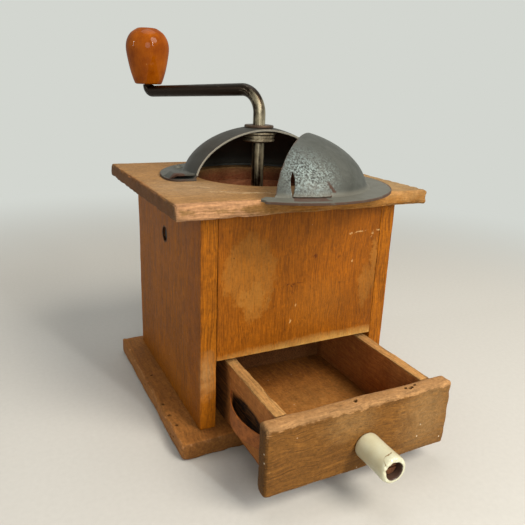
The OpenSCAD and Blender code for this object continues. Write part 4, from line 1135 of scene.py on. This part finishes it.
class MILL_OT_drawer(bpy.types.Operator):
    """Builds the drawer's front, walls and floor"""
    bl_idname = "mill.drawer"
    bl_label = "Drawer boards"

    def execute(self, context):
        sizes, tones = context.scene.mill_sizes, context.scene.mill_colours
        chip = sizes.chip / MM
        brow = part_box("drawer_front")[1].z / MM
        face = old_wood("rubbed_beech_drawer_front",
                        (tones.drawer_light, tones.drawer_dark, tones.drawer_bare), 0, 9.0, 0.78,
                        fibre=(0.9, 40), depth=0.9, figure=6.0, mottle=0.13, specks=0.9, rough=0.58,
                        rubbed=[((46, -133, 36), (15, 14, 22), 0.4, linear("#A08155"), 0.6, 18),
                                ((-7, -133, 43), (14, 14, 9), 0.3, linear("#A08155"), 0.5, 18),
                                ((0, -128, brow + 3.2), (500, 500, 5), 0.85, tones.drawer_bare, 0.25, 2)])
        # Painted shade behind the spring, where the wall goes into the box and on the back wall under the
        # case, and a bare worn top
        behind = Vector(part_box("drawer_spring")[1]) / MM
        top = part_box("drawer_back")[1].z / MM
        bare = linear("#BC8E55")
        painted_shade_and_bare_top = [((behind.x, behind.y - 22, behind.z - 6), (4, 23, 9.5), 1.0, linear("#0C0806"), 0.12, 3),
                  ((behind.x, -45, 32), (5, 21, 34), 0.8, linear("#120904"), 0.15, 4),
                  ((4, -18, 32), (46, 5, 26), 0.65, linear("#301708"), 0.3, 4),
                  ((0, -70, top + 3.5), (500, 500, 4), 0.9, bare, 0.05, 0.5)]
        wall = old_wood("bare_beech_drawer_wall", (tones.wall_light, tones.wall_dark, bare), 1, 10.0, 0.8,
                        specks=0.2, rough=0.66, rubbed=painted_shade_and_bare_top)
        # The floor gets a painted pool of light at the front and painted shade at the back, under the case
        ground = old_wood("bare_beech_drawer_floor", (tones.floor_light, tones.floor_dark, tones.bare), 1,
                          11.0, 0.95, fibre=(1.6, 9), depth=0.5, mottle=0.16, specks=0.3, rough=0.66,
                          rubbed=[((8, -84, 18), (40, 26, 8), 0.55, linear("#B58245"), 0.6, 14),
                                  ((4, -14, 18), (52, 26, 8), 0.5, linear("#3E1E0A"), 0.6, 10)])
        low, high = (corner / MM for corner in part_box("drawer_front"))

        def rubbed_top(p):
            return 0.35 + 0.65 * ease(brow - 7, brow - 2, p.z)

        def bare_top(p):
            return 0.15 + 3.5 * ease(top - 1.2, top - 0.3, p.z)

        shape = worn_board(low, high, sizes.front_round / MM, 0.9 * chip, 0, 9, step=2.8, bared=rubbed_top)
        made = piece("drawer_face", shape, "drawer", ["drawer_front"], face)
        spots = [(x, low.y + back, high.z) for x, back in (
            (33.6, 3.4), (35.2, 4.0), (31.4, 4.6), (38.4, 5.4), (-2, 4.4), (-1.2, 5.2))]
        cut_away(made, holes(spots, 1.15, 5, (0, 0, -1)))
        for name, seed in (("drawer_left_side", 10), ("drawer_right_side", 11), ("drawer_back", 12)):
            low, high = (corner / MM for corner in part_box(name))
            shape = worn_board(low, high, sizes.board_round / MM, chip, 1, seed, bared=bare_top)
            piece(name.replace("_side", "") + "_wall", shape, "drawer", [name], wall)
        low, high = (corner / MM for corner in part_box("drawer_bottom"))
        piece("drawer_floor", worn_board(low, high, 0.5, 0.2, 1, 13), "drawer",
              ["drawer_bottom"], ground)
        return {"FINISHED"}


class MILL_OT_drawer_knob(bpy.types.Operator):
    """Builds the porcelain drawer knob with its chipped rim"""
    bl_idname = "mill.drawer_knob"
    bl_label = "Drawer knob"

    def execute(self, context):
        tones = context.scene.mill_colours
        low, high = (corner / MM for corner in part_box("drawer_knob"))
        side = smooth_line([(6.2, 0), (7.0, 0.4), (7.4, 1.6), (7.35, 6), (7.3, 12), (7.4, 18), (7.5, 20.5),
                            (7.4, 22.4), (7.0, 23.4), (6.3, 23.95), (5.4, 24)], 4)
        inside = [(4.9, 23.6), (4.7, 22.8), (4.5, 18.2), (4.3, 18), (2.1, 18), (2.1, 0)]
        shape = lathe(side + inside, 96, loop=True)
        wear = shape.verts.layers.float.new("wear")
        for vert in shape.verts:
            p = vert.co / MM
            rim = ease(20.5, 23.5, p.z) * ease(3.0, 5.0, p.xy.length)
            bite = max(0, noise.noise(p / 3.1 + Vector((3.7, 8.2, 1.1))) - 0.12)
            vert.co -= Vector((0, 0, 2.2 * bite * rim)) * MM
            vert.co.xy *= 1 - 0.10 * bite * rim
            vert[wear] = ease(5.7, 5.0, p.xy.length) * ease(16, 18, p.z)
        place = (Matrix.Translation(((low.x + high.x) / 2 * MM, high.y * MM, (low.z + high.z) / 2 * MM))
                 @ Matrix.Rotation(math.radians(90), 4, "X"))
        tip = Vector(((low.x + high.x) / 2, low.y, (low.z + high.z) / 2))
        crack = [tip + Vector(away) for away in (
            (1.5, 4.7, 7.3), (-1.7, 3.7, 7.1), (-4.0, 3.8, 6.1), (-5.6, 0.8, 4.6), (-6.5, 0.1, 3.0))]
        piece("drawer_pull", shape, "drawer", ["drawer_knob"], glazed_porcelain(tones, crack),
              place)
        return {"FINISHED"}


class MILL_OT_spring(bpy.types.Operator):
    """Builds the bowed leaf spring beside the drawer"""
    bl_idname = "mill.spring"
    bl_label = "Leaf spring"

    def execute(self, context):
        low, high = (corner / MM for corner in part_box("drawer_spring"))
        rust = plain_metal("rusty_spring_steel", linear("#A25A10"), linear("#6C380A"), 0.62, 0.85, 0.0, 4)
        wall_x, bow = high.x, high.x - low.x - 0.8
        foot, run, steps = 10, 42, 32
        line = [(wall_x, low.y), (wall_x, low.y + foot / 2), (wall_x, low.y + foot)]
        for k in range(1, steps + 1):
            line.append((wall_x - bow * math.sin(math.pi * k / steps) ** 0.85,
                         low.y + foot + run * k / steps))
        rows = []
        for x, y in line:
            # The strip is widest behind and narrows to its nailed foot
            back = (y - low.y) / (high.y - low.y)
            under, over = low.z - 2.0 * back, high.z - 3.6 + 5.0 * back
            rows.append([(x - 0.8 - 0.12 * math.cos(math.pi * k / 6) ** 2, y, under + (over - under) * k / 6)
                         for k in range(7)])
        shape = bmesh.new()
        patch(shape, rows, lambda p: 0.5)
        bmesh.ops.recalc_face_normals(shape, faces=shape.faces)
        if sum(f.normal.x for f in shape.faces) > 0:
            bmesh.ops.reverse_faces(shape, faces=shape.faces)
        made = piece("leaf_spring", shape, "drawer", ["drawer_spring"], rust)
        thicken(made, 0.75 * MM)
        return {"FINISHED"}


class MILL_OT_fittings(bpy.types.Operator):
    """Gives the screws, nails, dowels and the grinding works their finishes"""
    bl_idname = "mill.fittings"
    bl_label = "Fittings and works"

    def execute(self, context):
        tones = context.scene.mill_colours
        iron = plain_metal("dark_cast_iron", linear("#5A544E"), linear("#2B2622"), 0.5, 0.7, 0.8, 5)
        burr = plain_metal("hardened_burr_iron", linear("#8A8883"), linear("#45423E"), 0.35, 0.6, 0.9, 3)
        brass = plain_metal("dull_brass", linear("#B79A58"), linear("#6E5628"), 0.35, 0.55, 0.9, 4)
        rusty = plain_metal("rusty_screw_steel", linear("#7A4A28"), linear("#36200F"), 0.55, 0.8, 0.3, 2)
        nickel = bpy.data.materials["worn_nickel_plate"]
        dowel = old_wood("beech_dowel", (tones.drawer_light, tones.drawer_dark, tones.bare), 1, 14.0, 0.8)
        finishes = [
            (iron, ("base_screws", "side_screws", "bowl_screws", "burr_pin", "bridge", "bridge_screws",
                    "thrust_stud", "spring_nails", "drawer_nails", "cover_pivot")),
            (bpy.data.materials["tinned_steel_sheet"], ("dome_screws",)),
            (burr, ("inner_burr", "outer_burr")),
            (brass, ("adjusting_nut",)),
            (rusty, ("drawer_knob_screw", "drawer_knob_nut")),
            (nickel, ("pivot_washer", "knob_washer")),
            (dowel, ("top_dowels", "drawer_dowels")),
        ]
        for finish, names in finishes:
            for name in names:
                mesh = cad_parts[name].data
                mesh.materials.clear()
                mesh.materials.append(finish)
        return {"FINISHED"}


# Stage

class MILL_OT_stage(bpy.types.Operator):
    """Sets the camera at the photograph's angle, the pale floor and the soft studio light"""
    bl_idname = "mill.stage"
    bl_label = "Stage"

    def execute(self, context):
        scene = context.scene
        tones = scene.mill_colours
        scene.view_settings.view_transform = "Standard"

        lens = bpy.data.cameras.new("camera")
        lens.sensor_width = 36
        lens.lens = 37.585
        lens.clip_start = 0.02
        camera = bpy.data.objects.new("camera", lens)
        camera.location = (-0.16085, -0.32757, 0.20676)
        camera.rotation_euler = [math.radians(a) for a in (72.116, -2.163, -26.368)]
        scene.collection.objects.link(camera)
        scene.camera = camera

        # Matt painted board that runs out to the plain backdrop colour
        finish, tree = empty_tree("matt_pale_board")
        spot = add(tree, "ShaderNodeTexCoord").outputs["Object"]
        grit = add(tree, "ShaderNodeTexNoise",
                   {"Vector": spot, "Scale": 1 / (3 * MM), "Detail": 3.0}).outputs["Fac"]
        skin = add(tree, "ShaderNodeMix", {0: grit, 6: linear("#BDBDB8"), 7: linear("#C6C6C1")},
                   data_type="RGBA").outputs[2]
        board = add(tree, "ShaderNodeBsdfPrincipled", {"Base Color": skin, "Roughness": 0.75,
                                                       "Specular IOR Level": 0.2})
        glow = add(tree, "ShaderNodeEmission", {"Color": tones.backdrop, "Strength": 1.0})
        far = add(tree, "ShaderNodeVectorMath", {0: spot}, operation="LENGTH").outputs["Value"]
        far = add(tree, "ShaderNodeMapRange", {"Value": far, 1: 0.28, 2: 0.75},
                  interpolation_type="SMOOTHSTEP").outputs[0]
        close(tree, add(tree, "ShaderNodeMixShader", {0: far, 1: board.outputs[0], 2: glow.outputs[0]}))
        mesh = bpy.data.meshes.new("floor")
        reach = 6
        corners = [(-reach, -reach, 0), (reach, -reach, 0), (reach, reach, 0), (-reach, reach, 0)]
        mesh.from_pydata(corners, [], [(0, 1, 2, 3)])
        mesh.materials.append(finish)
        floor = bpy.data.objects.new("floor", mesh)
        scene.collection.objects.link(floor)

        world = bpy.data.worlds.new("studio")
        scene.world = world
        world.use_nodes = True
        tree = world.node_tree
        tree.nodes.clear()
        path = add(tree, "ShaderNodeLightPath").outputs
        seen = add(tree, "ShaderNodeMath", {0: path["Is Camera Ray"], 1: path["Is Transmission Ray"]},
                   operation="MAXIMUM").outputs[0]
        seen = add(tree, "ShaderNodeMath", {0: seen, 1: path["Is Glossy Ray"]},
                   operation="MAXIMUM").outputs[0]
        wall = add(tree, "ShaderNodeBackground", {"Color": tones.backdrop, "Strength": 1.0})
        room = add(tree, "ShaderNodeBackground", {"Color": linear("#ECE5D8"), "Strength": 0.25})
        mixed = add(tree, "ShaderNodeMixShader", {0: seen, 1: room.outputs[0], 2: wall.outputs[0]})
        add(tree, "ShaderNodeOutputWorld", {"Surface": mixed.outputs[0]})

        lamps = [
            ("key_window", (0.40, -0.80, 1.00), (0.7, 0.7), 16.0, "#FFF4E6"),
            ("left_fill", (-0.95, -0.25, 0.55), (0.9, 0.9), 0.2, "#FFF2E0"),
            ("overhead", (0.05, 0.20, 1.15), (0.8, 0.8), 3.8, "#FFFFFF"),
            ("camera_fill", (-0.30, -0.95, 0.42), (0.5, 0.5), 3.0, "#FFFFFF"),
            ("left_pane", (-0.93, 0.20, 0.50), (0.03, 0.30), 1.0, "#FFFFFF"),
            ("right_pane", (0.22, -0.95, 0.55), (0.05, 0.40), 3.0, "#FFFFFF"),
        ]
        middle = Vector((0, -0.03, 0.1))
        for name, place, sides, power, tint in lamps:
            data = bpy.data.lights.new(name, "AREA")
            data.shape = "DISK" if sides[0] == sides[1] else "RECTANGLE"
            data.size, data.size_y = sides
            data.energy = power
            data.color = linear(tint)[:3]
            lamp = bpy.data.objects.new(name, data)
            lamp.location = place
            lamp.rotation_euler = (middle - Vector(place)).to_track_quat("-Z", "Y").to_euler()
            scene.collection.objects.link(lamp)
        return {"FINISHED"}


OPERATORS = (
    MILL_OT_stage, MILL_OT_base, MILL_OT_case, MILL_OT_top, MILL_OT_hopper, MILL_OT_dome, MILL_OT_cover,
    MILL_OT_bush, MILL_OT_crank, MILL_OT_grip, MILL_OT_drawer, MILL_OT_drawer_knob, MILL_OT_spring,
    MILL_OT_fittings,
)


class MILL_PT_pieces(bpy.types.Panel):
    """Lists the mill's settings and the operators that build its pieces"""
    bl_idname = "MILL_PT_pieces"
    bl_label = "Coffee mill"
    bl_space_type = "VIEW_3D"
    bl_region_type = "UI"
    bl_category = "Coffee Mill"

    def draw(self, context):
        for group in (context.scene.mill_sizes, context.scene.mill_colours):
            for key in group.bl_rna.properties.keys():
                if key not in ("rna_type", "name"):
                    self.layout.prop(group, key)
        for made in OPERATORS:
            self.layout.operator(made.bl_idname)


CLASSES = (MillSizes, MillColours, *OPERATORS, MILL_PT_pieces)


def register():
    for made in CLASSES:
        bpy.utils.register_class(made)
    bpy.types.Scene.mill_sizes = bpy.props.PointerProperty(type=MillSizes)
    bpy.types.Scene.mill_colours = bpy.props.PointerProperty(type=MillColours)


def unregister():
    del bpy.types.Scene.mill_colours
    del bpy.types.Scene.mill_sizes
    for made in reversed(CLASSES):
        bpy.utils.unregister_class(made)


def main():
    """Registers the add-on and builds every piece in order."""
    register()
    bpy.ops.mill.stage()
    bpy.ops.mill.base()
    bpy.ops.mill.case()
    bpy.ops.mill.top()
    bpy.ops.mill.hopper()
    bpy.ops.mill.dome()
    bpy.ops.mill.cover()
    bpy.ops.mill.bush()
    bpy.ops.mill.crank()
    bpy.ops.mill.grip()
    bpy.ops.mill.drawer()
    bpy.ops.mill.drawer_knob()
    bpy.ops.mill.spring()
    bpy.ops.mill.fittings()


if __name__ == "__main__":
    main()
